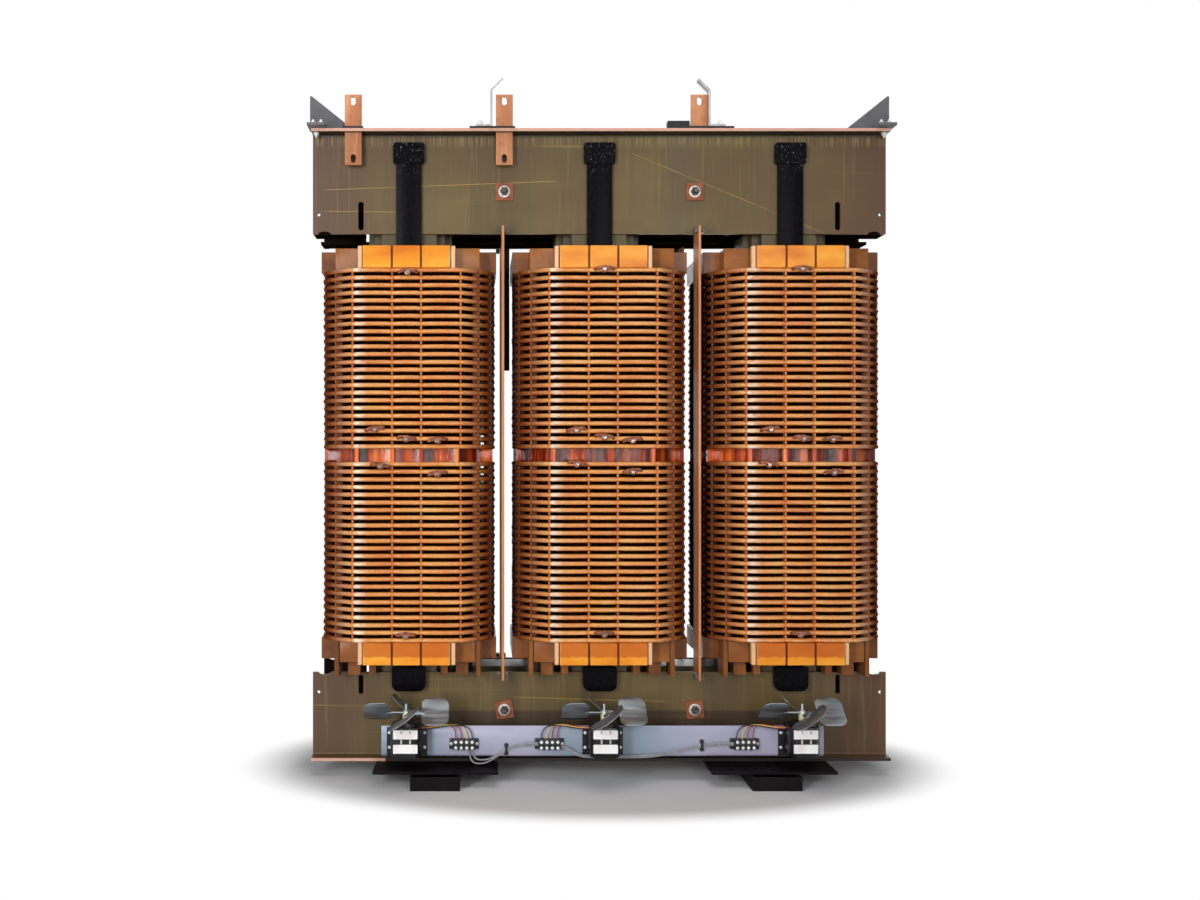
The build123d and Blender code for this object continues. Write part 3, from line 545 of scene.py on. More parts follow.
class Recipe:
    """A Geometry Nodes tree that puts its mesh at every step of two stacks."""

    def __init__(self, name, **sizes):
        self.tree = bpy.data.node_groups.new(name, "GeometryNodeTree")
        face = self.tree.interface
        face.new_socket("Geometry", in_out="INPUT", socket_type="NodeSocketGeometry")
        self.ids = {}
        for key, kind in sizes.items():
            socket = face.new_socket(key, in_out="INPUT", socket_type=f"NodeSocket{kind}")
            self.ids[key] = socket.identifier
        face.new_socket("Geometry", in_out="OUTPUT", socket_type="NodeSocketGeometry")
        self.start = self.tree.nodes.new("NodeGroupInput").outputs
        self.end = self.tree.nodes.new("NodeGroupOutput").inputs

    def add(self, kind, **inputs):
        """A new node, whose inputs are fed by name."""
        node = self.tree.nodes.new(kind)
        for key, value in inputs.items():
            feed(self.tree, node.inputs[key.replace("_", " ")], value)
        return node

    def steps(self):
        """The points of the lower stack and, a lift higher, those of the upper one."""
        pitch = self.add("ShaderNodeCombineXYZ", Z=self.start["Pitch"])
        line = self.add(
            "GeometryNodeMeshLine",
            Count=self.start["Count"], Start_Location=self.start["Bottom"], Offset=pitch.outputs[0],
        )
        lift = self.add("ShaderNodeCombineXYZ", Z=self.start["Lift"])
        upper = self.add("GeometryNodeTransform", Geometry=line.outputs[0], Translation=lift.outputs[0])
        both = self.add("GeometryNodeJoinGeometry")
        for part in (line, upper):
            self.tree.links.new(part.outputs[0], both.inputs[0])
        return both.outputs[0]

    def close(self, points, material):
        """Put a copy at each point, make the copies real and give them their finish."""
        copies = self.add("GeometryNodeInstanceOnPoints", Points=points, Instance=self.start[0])
        real = self.add("GeometryNodeRealizeInstances", Geometry=copies.outputs[0])
        painted = self.add("GeometryNodeSetMaterial", Geometry=real.outputs[0], Material=material)
        self.tree.links.new(painted.outputs[0], self.end[0])

    def run(self, name, mesh, **values):
        """Run the tree on a mesh and return the object it makes."""
        piece = placed(name, mesh)
        step = piece.modifiers.new(name, "NODES")
        step.node_group = self.tree
        for key, value in values.items():
            step[self.ids[key]] = value
        return piece


look = Finish("wrapped_wire", coat_roughness=0.16)
wrap = look.lines(72, "X", 1.0, "UV", (0, 0, math.radians(35)))
wire_spots = look.noise(90)
look.colour = look.ramp(
    look.noise(7, (1, 1, 2.0), 5), (0.3, 222, 124, 40), (0.5, 244, 160, 66), (0.7, 252, 190, 104)
)
look.over(look.span(wrap, 0.1, 0.55, 0.55, 0.0), 176, 82, 26)
look.over(look.span(wire_spots, 0.58, 0.74, 0.0, 0.5), 120, 48, 22)
half_pitch = (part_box("hv_winding_right")[0].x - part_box("hv_winding_middle")[0].x) / 2
from_coil = look.math("PINGPONG", look.axis("X"), half_pitch)
# Painted shade: the discs darken towards the sides of each coil, away from the front.
look.over(look.span(from_coil, 0.160, 0.212, 0.0, 0.72), 128, 62, 34)
look.over(look.span(from_coil, 0.212, 0.258, 0.0, 0.85), 96, 44, 28)
# Painted highlight: a cream-white band on the front of each coil just inside its left front stick,
# broken up by clouds.
shifted = look.math("FLOORED_MODULO", look.math("ADD", look.axis("X"), half_pitch), 2 * half_pitch)
beside_coil = look.math("SUBTRACT", shifted, half_pitch)
painted_highlight = look.times(
    look.span(beside_coil, -0.162, -0.156), look.span(beside_coil, -0.150, -0.112, 0.72, 0.0)
)
in_front = look.math("LESS_THAN", look.axis("Y"), 2 * dent_depth - coil_half)
painted_highlight = look.times(painted_highlight, in_front)
painted_highlight_clouds = look.span(look.noise(34, (1, 1, 2.5), 4), 0.36, 0.56, 0.15, 1.0)
look.over(look.times(painted_highlight, painted_highlight_clouds), 255, 246, 226)
glare = look.span(from_coil, 0.195, 0.235, 0.6, 0.0)
look.shine("Coat Weight", glare)
look.shine("Specular IOR Level", glare)
wire_round = look.axis("Y", "UV")
# Painted shade: the wire is painted near black beyond its rounded nose, in the gaps between the discs,
# and darker on the lower part of the nose.
look.over(look.span(wire_round, nose_length * 0.97, nose_length * 1.3, 0.0, 0.95), 26, 8, 5)
look.over(look.span(wire_round, 0.0, nose_length * 0.34, 0.75, 0.0), 120, 48, 18)
wire_material = look.finish(
    look.span(wire_spots, 0.35, 0.7, 0.16, 0.4),
    look.math("ADD", wrap, look.times(wire_spots, 0.6)), 0.0014, 0.8,
)

stack = Recipe("disc_stack", Count="Int", Pitch="Float", Bottom="Vector", Lift="Float", Seed="Int")
wobble = stack.add("FunctionNodeRandomValue", Seed=stack.start["Seed"])
wobble.data_type = "FLOAT_VECTOR"
wobble.inputs[0].default_value = (-0.0009, -0.0009, -0.0005)
wobble.inputs[1].default_value = (0.0009, 0.0009, 0.0005)
jolted = stack.add("GeometryNodeSetPosition", Geometry=stack.steps(), Offset=wobble.outputs[0])
stack.close(jolted.outputs[0], wire_material)

coil_x = {
    side: sum(corner.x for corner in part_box(f"hv_winding_{side}")) / 2
    for side in ("left", "middle", "right")
}
stack_low, stack_high = (corner.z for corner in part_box("hv_winding_middle"))
cad_disc_height = 0.013
half_stack = (disc_count - 1) * disc_pitch + cad_disc_height
stack_lift = stack_high - stack_low - half_stack
for seed, (side, x) in enumerate(coil_x.items()):
    stack_piece = stack.run(
        f"hv_discs_{side}", disc_mesh(),
        Count=disc_count, Pitch=disc_pitch, Lift=stack_lift, Seed=seed,
        Bottom=(x, 0, stack_low + disc_height / 2),
    )
    settle(stack_piece, "wrapped_wire", "transformer", f"hv_winding_{side}", crease=50)


# Comb sticks. Notched sticks of board hold the discs apart; their teeth end just inside
# the wire and show as small nubs one above the other.
tooth_width, tooth_tip, tooth_reach, tooth_ease = 0.0062, 0.0012, 0.026, 0.0018


def tooth_mesh(height):
    """One tooth, which points outwards along X, with its outer corners eased."""
    half = tooth_width / 2
    outline = [
        (-tooth_reach, -half), (-tooth_ease, -half), (0, tooth_ease - half),
        (0, half - tooth_ease), (-tooth_ease, half), (-tooth_reach, half),
    ]
    shape = bmesh.new()
    low = [shape.verts.new((x, y, -height / 2)) for x, y in outline]
    high = [shape.verts.new((x, y, height / 2)) for x, y in outline]
    shape.faces.new(low[::-1])
    shape.faces.new(high)
    for i in range(len(outline)):
        k = (i + 1) % len(outline)
        shape.faces.new((low[i], low[k], high[k], high[i]))
    return as_mesh(shape, "tooth")


look = Finish("comb_sticks", coat=0.12, coat_roughness=0.08, specular=0.2)
stick_grain = look.noise(40, (1, 1, 0.3), 4)
look.colour = look.ramp(stick_grain, (0.3, 150, 70, 34), (0.7, 206, 128, 70))
from_coil = look.math("PINGPONG", look.axis("X"), half_pitch)
# Painted shade: the teeth darken towards the sides of each coil.
look.over(look.span(from_coil, 0.172, 0.245, 0.0, 0.88), 60, 26, 22)
stick_material = look.finish(0.25, stick_grain, 0.0008)

combs = Recipe("comb_teeth", Count="Int", Pitch="Float", Bottom="Vector", Lift="Float")
combs.close(combs.steps(), stick_material)


def ring_of_teeth(height):
    """Teeth of one height at every stick of a coil."""
    ring = bmesh.new()
    tooth = tooth_mesh(height)
    for place_2d, facing in stick_places():
        turn = math.atan2(facing.y, facing.x)
        start = len(ring.verts)
        ring.from_mesh(tooth)
        ring.verts.ensure_lookup_table()
        tip = place_2d - facing * tooth_tip
        place = Matrix.Translation((tip.x, tip.y, 0)) @ Matrix.Rotation(turn, 4, "Z")
        bmesh.ops.transform(ring, matrix=place, verts=ring.verts[start:])
    return as_mesh(ring, "teeth")


for side, x in coil_x.items():
    comb_piece = combs.run(
        f"comb_teeth_{side}", ring_of_teeth(disc_pitch - disc_height + 0.001),
        Count=disc_count - 1, Pitch=disc_pitch, Lift=stack_lift,
        Bottom=(x, 0, stack_low + (disc_height + disc_pitch) / 2),
    )
    settle(comb_piece, "barrier_board")


# Collars. Blocks of amber board glued into a ring carry each coil at its foot and press
# it at its head; the varnish is thick and bright in front and brown in the corners.
collar_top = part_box("bottom_collar_middle")[1].z
collar_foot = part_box("bottom_collar_middle")[0].z
collar_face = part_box("bottom_collar_middle")[1].y
groove_x, groove_half, front_half = front_sticks[0], 0.0034, (0.128, 0.133)
look = Finish("collar_board", coat=0.04, coat_roughness=0.08, specular=0.2)
collar_grain = look.noise(6, (1, 1, 2.5), 5)
collar_height = look.axis("Z")
from_coil = look.math("PINGPONG", look.axis("X"), half_pitch)
bright_board = look.ramp(collar_grain, (0.3, 216, 116, 24), (0.5, 238, 148, 38), (0.7, 250, 172, 58))
ragged_height = look.math("ADD", collar_height, look.times(look.noise(70, detail=4), 0.016))
lower_board = look.blend(
    look.span(ragged_height, collar_foot + 0.029, collar_foot + 0.035, 0.0, 0.75),
    bright_board, srgb(190, 88, 26),
)
is_foot = look.math("LESS_THAN", collar_height, collar_top + 0.001)
look.colour = look.blend(is_foot, bright_board, lower_board)
from_groove = look.math("ABSOLUTE", look.math("SUBTRACT", from_coil, groove_x))
look.over(look.times(look.math("LESS_THAN", from_groove, groove_half), 0.7), 120, 52, 16)
side_board = look.ramp(collar_grain, (0.3, 118, 66, 28), (0.7, 166, 102, 48))
# The stick just outside the front boards is painted pale tan: its lighter board with a painted highlight
# on it.
stick_board = look.span(
    look.math("ABSOLUTE", look.axis("Y")), collar_face - 0.030, collar_face - 0.014
)
pale_stick_and_highlight = look.times(stick_board, look.math("LESS_THAN", from_coil, 0.147))
outer_board = look.blend(pale_stick_and_highlight, side_board, srgb(232, 186, 140))
look.colour = look.blend(look.span(from_coil, *front_half), look.colour, outer_board)
# Painted shade on the outer sides of each collar.
look.over(look.span(from_coil, 0.222, 0.235, 0.0, 0.35), 70, 36, 30)
collar_material = look.finish(0.28, look.noise(80, (1, 1, 0.5)), 0.0008)
for side in coil_x:
    for level in ("top", "bottom"):
        eased(f"{level}_collar_{side}", collar_material, 0.0015, "collar_board")

support_material = grained(
    "support_blocks", (20, (1, 1, 0.3), 5), ((0.3, 84, 46, 20), (0.7, 148, 90, 44)),
    0.5, 0.001, specular=0.2,
)
eased("coil_supports", support_material, 0.0015, "support_board")


# Clamp bolts. A stud through each yoke, with a nut at each end on a square washer of
# terracotta-coloured board; a pale ring lies between nut and board.
def ring_of_faces(shape, profile, sides):
    """Turn a profile of (radius, height) round Z and close both its ends."""
    turns = [2 * math.pi * k / sides for k in range(sides)]
    rings = [
        [shape.verts.new((radius * math.cos(turn), radius * math.sin(turn), level)) for turn in turns]
        for radius, level in profile
    ]
    for lower, upper in zip(rings, rings[1:]):
        for k in range(sides):
            m = (k + 1) % sides
            shape.faces.new((lower[k], lower[m], upper[m], upper[k]))
    shape.faces.new(rings[0][::-1])
    shape.faces.new(rings[-1])


def joined(name, parts, material, slot, body="transformer"):
    """One piece out of many copies; each part is a shape and the matrix that places it."""
    whole = bmesh.new()
    for source, matrix in parts:
        start = len(whole.verts)
        copy = bpy.data.meshes.new("copy")
        source.to_mesh(copy)
        whole.from_mesh(copy)
        bpy.data.meshes.remove(copy)
        whole.verts.ensure_lookup_table()
        bmesh.ops.transform(whole, matrix=matrix, verts=whole.verts[start:])
    bmesh.ops.recalc_face_normals(whole, faces=whole.faces)
    mesh = as_mesh(whole, name)
    mesh.materials.append(material)
    return settle(placed(name, mesh), slot, body, crease=35)


def facing_front(x, y, z, roll=0.0):
    """A place on a front face: the part's Z points out to the front."""
    return (
        Matrix.Translation((x, y, z))
        @ Matrix.Rotation(math.radians(90), 4, "X")
        @ Matrix.Rotation(math.radians(roll), 4, "Z")
    )


def facing_back(x, y, z):
    """The same on a rear face."""
    return Matrix.Translation((x, y, z)) @ Matrix.Rotation(math.radians(-90), 4, "X")


def plate(width, tallness, thickness, corner):
    """A thin plate with eased corners that faces Z."""
    shape = bmesh.new()
    bmesh.ops.create_cube(shape, size=1.0)
    size = Matrix.Diagonal((width, tallness, thickness, 1))
    bmesh.ops.transform(
        shape, matrix=Matrix.Translation((0, 0, thickness / 2)) @ size, verts=shape.verts
    )
    upright = [e for e in shape.edges if abs(e.verts[0].co.z - e.verts[1].co.z) > thickness / 2]
    bmesh.ops.bevel(shape, geom=upright, offset=corner, segments=3, affect="EDGES")
    return shape


tile_material = grained(
    "square_washers", (60, even, 5), ((0.3, 122, 66, 42), (0.7, 166, 98, 66)), 0.6, 0.0008, specular=0.3
)
washer_half = 0.027
washer_front, washer_back = (corner.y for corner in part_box("clamp_washers"))
stud_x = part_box("clamp_washers")[1].x - washer_half
stud_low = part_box("clamp_washers")[0].z + washer_half
stud_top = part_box("clamp_washers")[1].z - washer_half
tile_depth = web_face - washer_front
tile = plate(2 * washer_half, 2 * washer_half, tile_depth, 0.0015)
tile_rolls = {
    (-stud_x, stud_low): 8, (stud_x, stud_low): 4.5, (-stud_x, stud_top): 0, (stud_x, stud_top): 1,
}
tiles = joined(
    "turned_washers",
    [(tile, facing_front(x, web_face, z, roll)) for (x, z), roll in tile_rolls.items()]
    + [(tile, facing_back(x, washer_back - tile_depth, z)) for x, z in tile_rolls],
    tile_material, "terracotta_board",
)
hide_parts("clamp_washers")
stud_material = grained(
    "dark_steel", (120, even, 4), ((0.3, 34, 30, 28), (0.7, 96, 88, 78)), 0.42, 0.0005, metallic=0.5
)
eased("clamp_studs", stud_material, 0.0008, "dark_steel")

pale_metal = grained(
    "pale_rings", (140, even, 4), ((0.3, 196, 194, 190), (0.6, 236, 236, 236)),
    (0.3, 0.5), 0.0003, metallic=0.2,
)
round_washer = bmesh.new()
ring_of_faces(round_washer, ((0.0182, 0.0), (0.0182, 0.0014), (0.0174, 0.0024), (0.0125, 0.0024)), 28)
joined(
    "stud_rings",
    [(round_washer, facing_front(x, washer_front, z)) for x, z in tile_rolls]
    + [(round_washer, facing_back(x, washer_back, z)) for x, z in tile_rolls],
    pale_metal, "dark_steel",
)


# Top fittings. Dark steel gussets at the four corners, bare copper terminal bars with
# slots, their black pads, and two bent grey strips, held by zinc-plated bolts.
gusset_material = grained(
    "gusset_plate", (30, even, 5), ((0.3, 84, 84, 87), (0.7, 106, 106, 110)),
    (0.4, 0.6), 0.0006, specular=0.3,
)
eased("corner_gussets", gusset_material, 0.001, "dark_plate")

look = Finish("bare_copper", metallic=0.35, specular=0.4)
copper_fine = look.noise(150, (1, 1, 0.05))
look.colour = look.ramp(
    look.noise(14, (1, 1, 0.2), 5), (0.3, 150, 88, 54), (0.55, 190, 126, 84), (0.8, 216, 156, 116)
)
look.over(look.span(look.noise(38, detail=5), 0.55, 0.72, 0.0, 0.5), 112, 66, 42)
# The copper is darker towards its lower end.
darker_lower_end = look.span(look.axis("Z"), top_flange_height - 0.05, top_flange_height + 0.12, 0.55, 0.0)
look.over(darker_lower_end, 140, 88, 58)
copper_material = look.finish(look.span(copper_fine, 0.3, 0.7, 0.34, 0.55), copper_fine, 0.0004)
for side in coil_x:
    eased(f"terminal_bar_{side}", copper_material, 0.0012, "bare_copper")

pad_material = grained(
    "black_pads", (90, even, 4), ((0.3, 12, 11, 12), (0.7, 34, 32, 32)), 0.5, 0.0006, specular=0.3
)
eased("terminal_pads", pad_material, 0.001, "black_board")

strip_material = grained(
    "grey_strip", (80, (1, 1, 0.1), 4), ((0.3, 150, 148, 146), (0.7, 200, 198, 196)),
    0.4, 0.0004, metallic=0.4,
)
eased("lead_brackets", strip_material, 0.0008, "grey_strip")

bolt = bmesh.new()
ring_of_faces(bolt, ((0.0095, 0.0), (0.0095, 0.0018)), 20)
ring_of_faces(bolt, ((0.0068, 0.0018), (0.0074, 0.0026), (0.0074, 0.0078), (0.0064, 0.0088)), 6)
ring_of_faces(bolt, ((0.0036, 0.0088), (0.0036, 0.0138), (0.0028, 0.0148)), 12)
gusset_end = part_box("corner_gussets")[1]
bracket_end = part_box("lead_brackets")[1]
bracket_middle = sum(corner.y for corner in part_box("lead_brackets")) / 2
foot_level = top_flange_height + 0.009
under_flange = top_flange_height - 0.009
bracket_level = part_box("terminal_pads")[0].z + 0.015
upside_down = Matrix.Rotation(math.pi, 4, "X")
corner_bolts = []
for side in (-1, 1):
    for inward in (0.016, 0.040):
        for rear in (-1, 1):
            spot = (side * (gusset_end.x - inward), rear * (gusset_end.y - 0.026), foot_level)
            corner_bolts.append((bolt, Matrix.Translation(spot)))
    spot = (side * (gusset_end.x - 0.022), flange_reach + 0.020, under_flange)
    corner_bolts.append((bolt, Matrix.Translation(spot) @ upside_down))
    spot = (side * (bracket_end.x - 0.015), bracket_middle, bracket_level)
    corner_bolts.append((bolt, Matrix.Translation(spot)))
joined("fitting_bolts", corner_bolts, pale_metal, "dark_steel")


# Phase strips and rear lead bars. Narrow boards stand edge-on between the coils, each
# held at its head by a dark clip; behind them two taped lead bars hang.
board_material = grained(
    "phase_strips", (8, (3, 3, 0.4), 5), ((0.3, 160, 90, 48), (0.7, 214, 140, 80)), 0.4, 0.0008, coat=0.1
)
eased("phase_strips", board_material, 0.001, "orange_strip")
look = Finish("taped_bars", specular=0.25)
tape_turns = look.lines(30, "Z", 3.0)
look.colour = look.ramp(tape_turns, (0.2, 10, 9, 9), (0.8, 28, 25, 24))
tape_material = look.finish(0.6, tape_turns, 0.001)
eased("rear_lead_bars", tape_material, 0.0015, "black_lead")

strip_low, strip_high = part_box("phase_strips")
strip_x = strip_high.x - 0.004
clip_inset_y, clip_inset_z = 0.011, 0.012
clip = bmesh.new()
for shift in (-0.0105, 0.0105):
    jaw = bmesh.ops.create_cube(clip, size=1.0)["verts"]
    size = Matrix.Diagonal((0.012, 0.026, 0.018, 1))
    bmesh.ops.transform(clip, matrix=Matrix.Translation((shift, 0, 0)) @ size, verts=jaw)
bmesh.ops.bevel(clip, geom=clip.edges[:], offset=0.002, segments=2, affect="EDGES")
clip_places = []
for x in (-strip_x, strip_x):
    for y in (strip_low.y + clip_inset_y, strip_high.y - clip_inset_y):
        for z in (strip_high.z - clip_inset_z, strip_low.z + clip_inset_z):
            clip_places.append((clip, Matrix.Translation((x, y, z))))
joined("strip_clips", clip_places, stud_material, "dark_steel")


# Lugs. The wire's ends and its taps at mid height come out of the front of each coil as
# short loops bolted together, brown with varnish.
lug_places = {
    "left": ((0.004, 1.532), (-0.094, 1.062), (0.0, 1.034), (0.093, 1.029), (-0.078, 0.953),
             (0.093, 0.929), (-0.002, 0.446)),
    "middle": ((0.002, 1.541), (-0.083, 1.060), (0.002, 1.039), (0.086, 1.029), (-0.080, 0.959),
               (0.086, 0.936), (0.001, 0.451)),
    "right": ((0.002, 1.541), (-0.093, 1.062), (0.005, 1.035), (0.093, 1.033), (-0.097, 0.958),
              (0.097, 0.934), (-0.003, 0.451)),
}
lug_rolls = (0, 8, -6, 5, -9, 7, 0)
lug_half, lug_rise, lug_bow, loop_radius = 0.026, 0.013, 0.004, 0.0056
loop_sides, loop_steps = 8, 14
lug = bmesh.new()
rings = []
for step in range(loop_steps + 1):
    angle = math.pi * step / loop_steps
    bow, swing = math.sin(angle), math.cos(angle)
    centre = Vector((-swing * lug_half, bow * lug_bow, 0.002 + bow * lug_rise))
    heading = Vector((bow * lug_half, 0, swing * lug_rise)).normalized()
    side_axis = Vector((0, 1, 0))
    across = heading.cross(side_axis).normalized()
    rings.append([
        lug.verts.new(centre + (side_axis * math.cos(t) + across * math.sin(t)) * loop_radius)
        for t in (2 * math.pi * k / loop_sides for k in range(loop_sides))
    ])
for before, after in zip(rings, rings[1:]):
    for k in range(loop_sides):
        m = (k + 1) % loop_sides
        lug.faces.new((before[k], before[m], after[m], after[k]))
lug.faces.new(rings[0])
lug.faces.new(rings[-1][::-1])
ring_of_faces(lug, ((0.010, 0.004), (0.011, 0.006), (0.011, 0.012), (0.0095, 0.013)), 18)
lug_bolt = bmesh.new()
ring_of_faces(lug_bolt, ((0.0072, 0.012), (0.0076, 0.013), (0.0076, 0.018), (0.0064, 0.0195)), 6)
lug_material = grained(
    "varnished_lugs", (120, even, 4), ((0.35, 70, 34, 24), (0.65, 176, 96, 60)),
    0.25, 0.001, metallic=0.2, coat=0.4,
)
lug_bolt_material = grained(
    "lug_bolts", (200,), ((0.35, 60, 44, 40), (0.65, 190, 170, 160)), 0.2, 0.0008, metallic=0.7
)
for side, x in coil_x.items():
    spots = [
        (lug, facing_front(x + dx, -coil_half - 0.001, z, roll))
        for (dx, z), roll in zip(lug_places[side], lug_rolls)
    ]
    joined(f"wire_lugs_{side}", spots, lug_material, "wrapped_wire")
    bolts = [(lug_bolt, matrix) for _, matrix in spots]
    joined(f"lug_bolts_{side}", bolts, lug_bolt_material, "dark_steel")


# Feet. Two channels with a plate on top, painted black, run from front to back; their
# brown undercoat shows through in patches.
foot_material = grained(
    "foot_paint", (12, even, 6), ((0.4, 7, 4, 6), (0.68, 18, 12, 14), (0.85, 52, 40, 36)),
    (0.4, 0.6), 0.001, specular=0.12,
)
eased("feet", foot_material, 0.0015, "foot_paint")


# Fan rail. A bright zinc-plated angle, folded from sheet, is fixed in front of the bottom
# clamp and carries the fans and their terminal blocks.
look = Finish("rail_zinc", metallic=0.2, specular=0.4)
rail_fine = look.noise(130, (0.05, 1, 1))
rail_place = look.axis("X")
bluish_middle = look.times(
    look.span(rail_place, -0.22, -0.10), look.span(rail_place, 0.10, 0.32, 1.0, 0.0)
)
bluish = look.math("ADD", bluish_middle, look.span(rail_place, -0.56, -0.40, 1.0, 0.0))
look.colour = look.ramp(look.noise(3, (1, 1, 3), 4), (0.3, 152, 152, 172), (0.7, 172, 168, 190))
look.over(look.times(bluish, 0.7), 118, 142, 154)
rail_material = look.finish(look.span(rail_fine, 0.3, 0.7, 0.36, 0.5), rail_fine, 0.0003)
eased("fan_rail", rail_material, 0.001, "rail_zinc")


# Fans. A black motor hangs on the rail by two ears and turns four pitched blades on a
# pale hub. Two blank white labels are stuck on its face.
look = Finish("motor_paint", coat=0.1, specular=0.3)
motor_grain = look.noise(70, detail=4)
motor_sheets = look.lines(70, "Z", 0.5)
look.colour = look.ramp(motor_grain, (0.3, 4, 4, 5), (0.7, 13, 12, 14))
motor_material = look.finish(0.3, look.math("ADD", motor_grain, look.times(motor_sheets, 0.5)), 0.0006)
blade_material = grained(
    "blade_sheet", (60, (0.2, 1, 1), 4), ((0.3, 112, 118, 122), (0.7, 150, 156, 160)),
    (0.28, 0.45), 0.0003, metallic=0.75,
)
label_material = grained(
    "blank_labels", (30, even, 4), ((0.3, 232, 222, 222), (0.6, 250, 248, 248)),
    0.5, 0.0002, specular=0.3,
)
brass_material = grained(
    "pale_brass", (120,), ((0.3, 206, 192, 150), (0.7, 240, 232, 204)), 0.35, 0.0003, metallic=0.4
)

screw = bmesh.new()
screw_profile = ((0.0048, 0.0), (0.0050, 0.0008), (0.0046, 0.0022), (0.0030, 0.0030), (0.0010, 0.0033))
ring_of_faces(screw, screw_profile, 16)
motor_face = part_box("fan_motor_middle")[0].y
ear_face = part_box("fan_rail")[0].y - 0.004
label_plate = plate(0.072, 0.0265, 0.0007, 0.001)
rib = plate(0.005, 0.014, 0.0022, 0.001)
collar_ring = bmesh.new()
ring_of_faces(
    collar_ring,
    (
        (0.0104, 0.0), (0.0108, 0.001), (0.0108, 0.024),
        (0.0088, 0.026), (0.0088, 0.029), (0.0066, 0.030),
    ), 24,
)
rotor_low, rotor_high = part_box("fan_rotor_middle")
fan_axis = (rotor_low.y + rotor_high.y) / 2
label_heights, rib_heights, ear_screw_heights = (0.1187, 0.1610), (0.1400, 0.1700), (0.104, 0.148)
ear_screw_half, rib_offsets, hub_height = 0.053, (-0.012, 0.014), 0.1948
for side, x in coil_x.items():
    eased(f"fan_motor_{side}", motor_material, 0.002, "motor_black")
    eased(f"fan_rotor_{side}", blade_material, 0.0004, "blade_metal", f"fan_rotor_{side}")
    labels = [(label_plate, facing_front(x, motor_face, z)) for z in label_heights]
    joined(f"motor_labels_{side}", labels, label_material, "block_moulding")
    ear_screws = [
        (screw, facing_front(x + dx, ear_face, z))
        for dx in (-ear_screw_half, ear_screw_half) for z in ear_screw_heights
    ]
    joined(f"motor_screws_{side}", ear_screws, pale_metal, "dark_steel")
    ribs = [(rib, facing_front(x + dx, motor_face, z)) for dx in rib_offsets for z in rib_heights]
    joined(f"motor_ribs_{side}", ribs, strip_material, "grey_strip")
    hub = [(collar_ring, Matrix.Translation((x, fan_axis, hub_height)))]
    joined(f"rotor_hub_{side}", hub, brass_material, "bare_copper", f"fan_rotor_{side}")


# Wiring. Four soft leads run from each motor to a black terminal block with pale screws;
# a twin grey cable, tied to the rail, joins the blocks.
block_material = grained(
    "block_moulding", (90,), ((0.3, 10, 10, 14), (0.7, 28, 28, 34)), 0.35, 0.0004, specular=0.4
)
eased("terminal_blocks", block_material, 0.0008, "block_moulding")
block_low, block_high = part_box("terminal_blocks")
block_x = {"left": -0.418, "middle": -0.161, "right": 0.427}
block_mid = (block_low.z + block_high.z) / 2
terminal_pitch, terminal_rise, block_screw_half = 0.0165, 0.0085, 0.0385
block_screws = []
for x in block_x.values():
    for number in range(4):
        for rise in (-terminal_rise, terminal_rise):
            spot = (x + (number - 1.5) * terminal_pitch, block_low.y, block_mid + rise)
            block_screws.append((screw, facing_front(*spot)))
    for dx in (-block_screw_half, block_screw_half):
        block_screws.append((screw, facing_front(x + dx, ear_face - 0.001, block_mid)))
joined("block_screws", block_screws, pale_metal, "dark_steel")


def wire(name, lines, radius, material, slot, *replaced):
    """Round soft wires, each along one smooth line through the air."""
    curve = bpy.data.curves.new(name, "CURVE")
    curve.dimensions = "3D"
    curve.bevel_depth = radius
    curve.bevel_resolution = 3
    curve.use_fill_caps = True
    curve.materials.append(material)
    for line in lines:
        spline = curve.splines.new("NURBS")
        spline.points.add(len(line) - 1)
        for point, (x, y, z) in zip(spline.points, line):
            point.co = (x, y, z, 1)
        spline.order_u = 3
        spline.use_endpoint_u = True
        spline.resolution_u = 8
    piece = placed(name, curve)
    bpy.context.view_layer.update()
    evaluated = piece.evaluated_get(bpy.context.evaluated_depsgraph_get())
    tube = bpy.data.meshes.new_from_object(evaluated)
    bpy.data.objects.remove(piece)
    return settle(placed(name, tube), slot, "transformer", *replaced, crease=60)


lead_routes = {
    "left": [(-0.546, -0.262, 0.168), (-0.514, -0.262, 0.168), (-0.466, -0.254, 0.177),
             (-0.418, -0.241, 0.168), (-0.418, -0.241, 0.131)],
    "middle": [(-0.044, -0.262, 0.168), (-0.076, -0.262, 0.168), (-0.1185, -0.254, 0.177),
               (-0.161, -0.241, 0.168), (-0.161, -0.241, 0.131)],
    "right": [(0.546, -0.262, 0.168), (0.514, -0.262, 0.168), (0.4705, -0.254, 0.177),
              (0.427, -0.241, 0.168), (0.427, -0.241, 0.131)],
}
lead_colours = {
    "red": ((0.3, 140, 14, 24), (0.7, 196, 36, 44)),
    "yellow": ((0.3, 206, 176, 60), (0.7, 236, 214, 110)),
    "black": ((0.3, 14, 12, 14), (0.7, 34, 30, 32)),
}
lead_lifts, lead_radius = (-0.0022, 0.0022, 0.001, -0.003), 0.0016
lead_lines = {colour_name: [] for colour_name in lead_colours}
for route in lead_routes.values():
    towards = 1 if route[-1][0] > route[0][0] else -1
    for number, colour_name in enumerate(("red", "red", "yellow", "black")):
        spread = (number - 1.5) * terminal_pitch * towards
        lead_lines[colour_name].append([
            (x + spread * share, y - 0.004 * share, z + lead_lifts[number] * (1 - share))
            for share, (x, y, z) in zip((0.05, 0.12, 0.5, 0.95, 1.0), route)
        ])
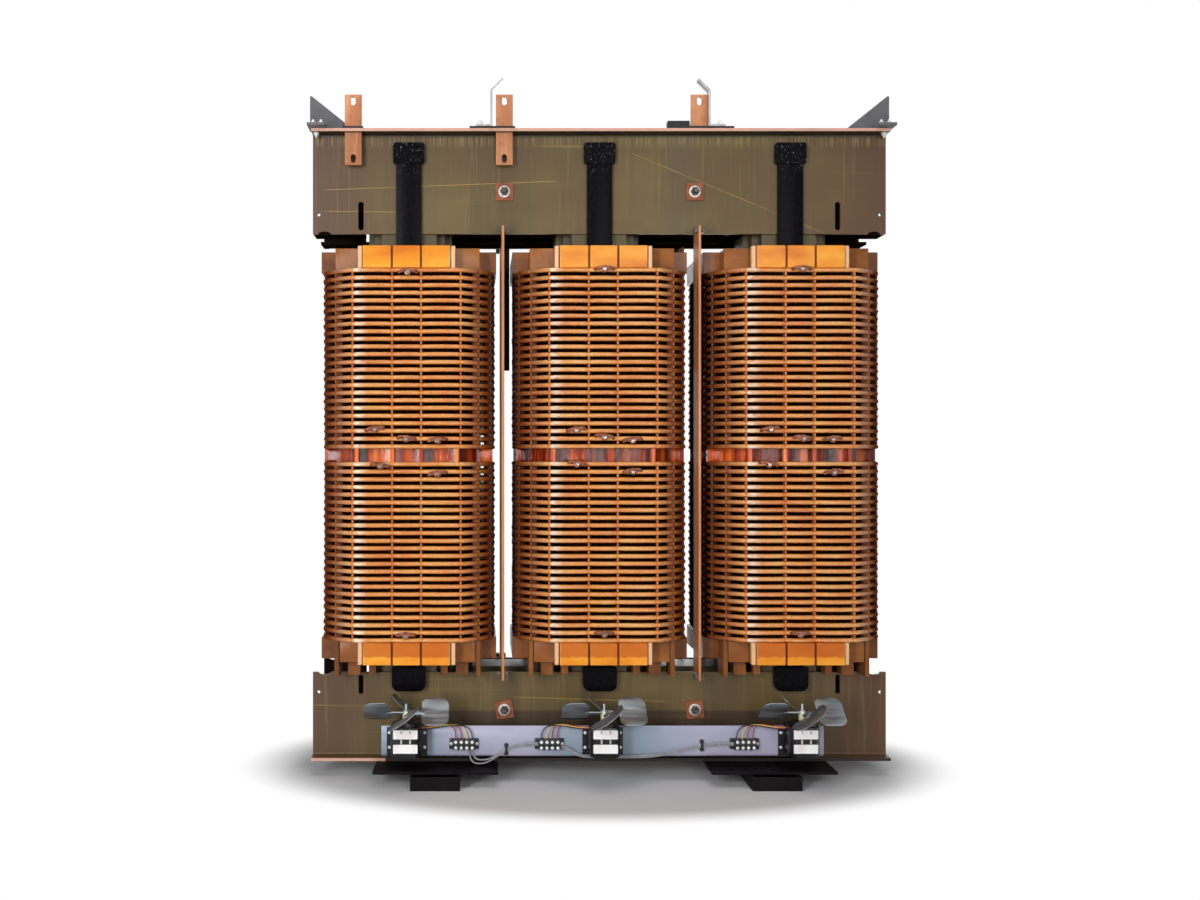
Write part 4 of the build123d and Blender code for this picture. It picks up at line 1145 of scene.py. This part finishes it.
for colour_name, stops in lead_colours.items():
    lead_material = grained(f"{colour_name}_sleeve", (60,), stops, 0.42, 0.0003, specular=0.4)
    replaced = ("motor_leads",) if colour_name == "red" else ()
    wire(
        f"leads_{colour_name}", lead_lines[colour_name], lead_radius, lead_material,
        "lead_sleeve", *replaced,
    )

cable_routes = (
    [(-0.398, -0.2398, 0.099), (-0.398, -0.2398, 0.060), (-0.352, -0.2398, 0.056),
     (-0.314, -0.2398, 0.082), (-0.280, -0.2398, 0.103), (-0.238, -0.2448, 0.114),
     (-0.194, -0.2448, 0.115)],
    [(-0.128, -0.2448, 0.107), (-0.106, -0.2448, 0.106), (-0.078, -0.2448, 0.081),
     (-0.030, -0.2448, 0.077), (0.030, -0.2448, 0.078), (0.095, -0.2448, 0.0765),
     (0.160, -0.2398, 0.079), (0.226, -0.2398, 0.091), (0.292, -0.2398, 0.108),
     (0.346, -0.2448, 0.114), (0.394, -0.2448, 0.115)],
)
core_gap, core_radius = 0.0026, 0.0024
strands = []
for route in cable_routes:
    for side in (-1, 1):
        strands.append([(x, y, z + side * core_gap) for x, y, z in route])
strands[0][:3] = [(x - 0.004, y, z) for x, y, z in strands[0][:3]]
strands[1][:3] = [(x + 0.004, y, z + 0.006) for x, y, z in strands[1][:3]]
grey = grained(
    "grey_jacket", (60,), ((0.3, 128, 128, 134), (0.7, 164, 164, 170)), 0.42, 0.0003, specular=0.4
)
wire("supply_strands", strands, core_radius, grey, "cable_jacket", "supply_cable")

tie_material = grained(
    "cable_ties", (80,), ((0.3, 8, 8, 9), (0.7, 26, 26, 28)), 0.4, 0.0003, specular=0.4
)
saddle = bmesh.new()
ring_of_faces(saddle, ((0.0065, 0.0), (0.0065, 0.004), (0.0045, 0.0075), (0.002, 0.0082)), 14)
band = plate(0.007, 0.024, 0.0105, 0.002)
tie_face, saddle_rise = ear_face + 0.004, 0.012
ties = []
for x, z in ((-0.291, 0.098), (0.299, 0.109)):
    ties.append((band, facing_front(x, tie_face, z)))
    for rise in (saddle_rise, -saddle_rise):
        ties.append((saddle, facing_front(x, tie_face, z + rise)))
joined("cable_ties", ties, tie_material, "block_moulding")


bpy.context.view_layer.update()
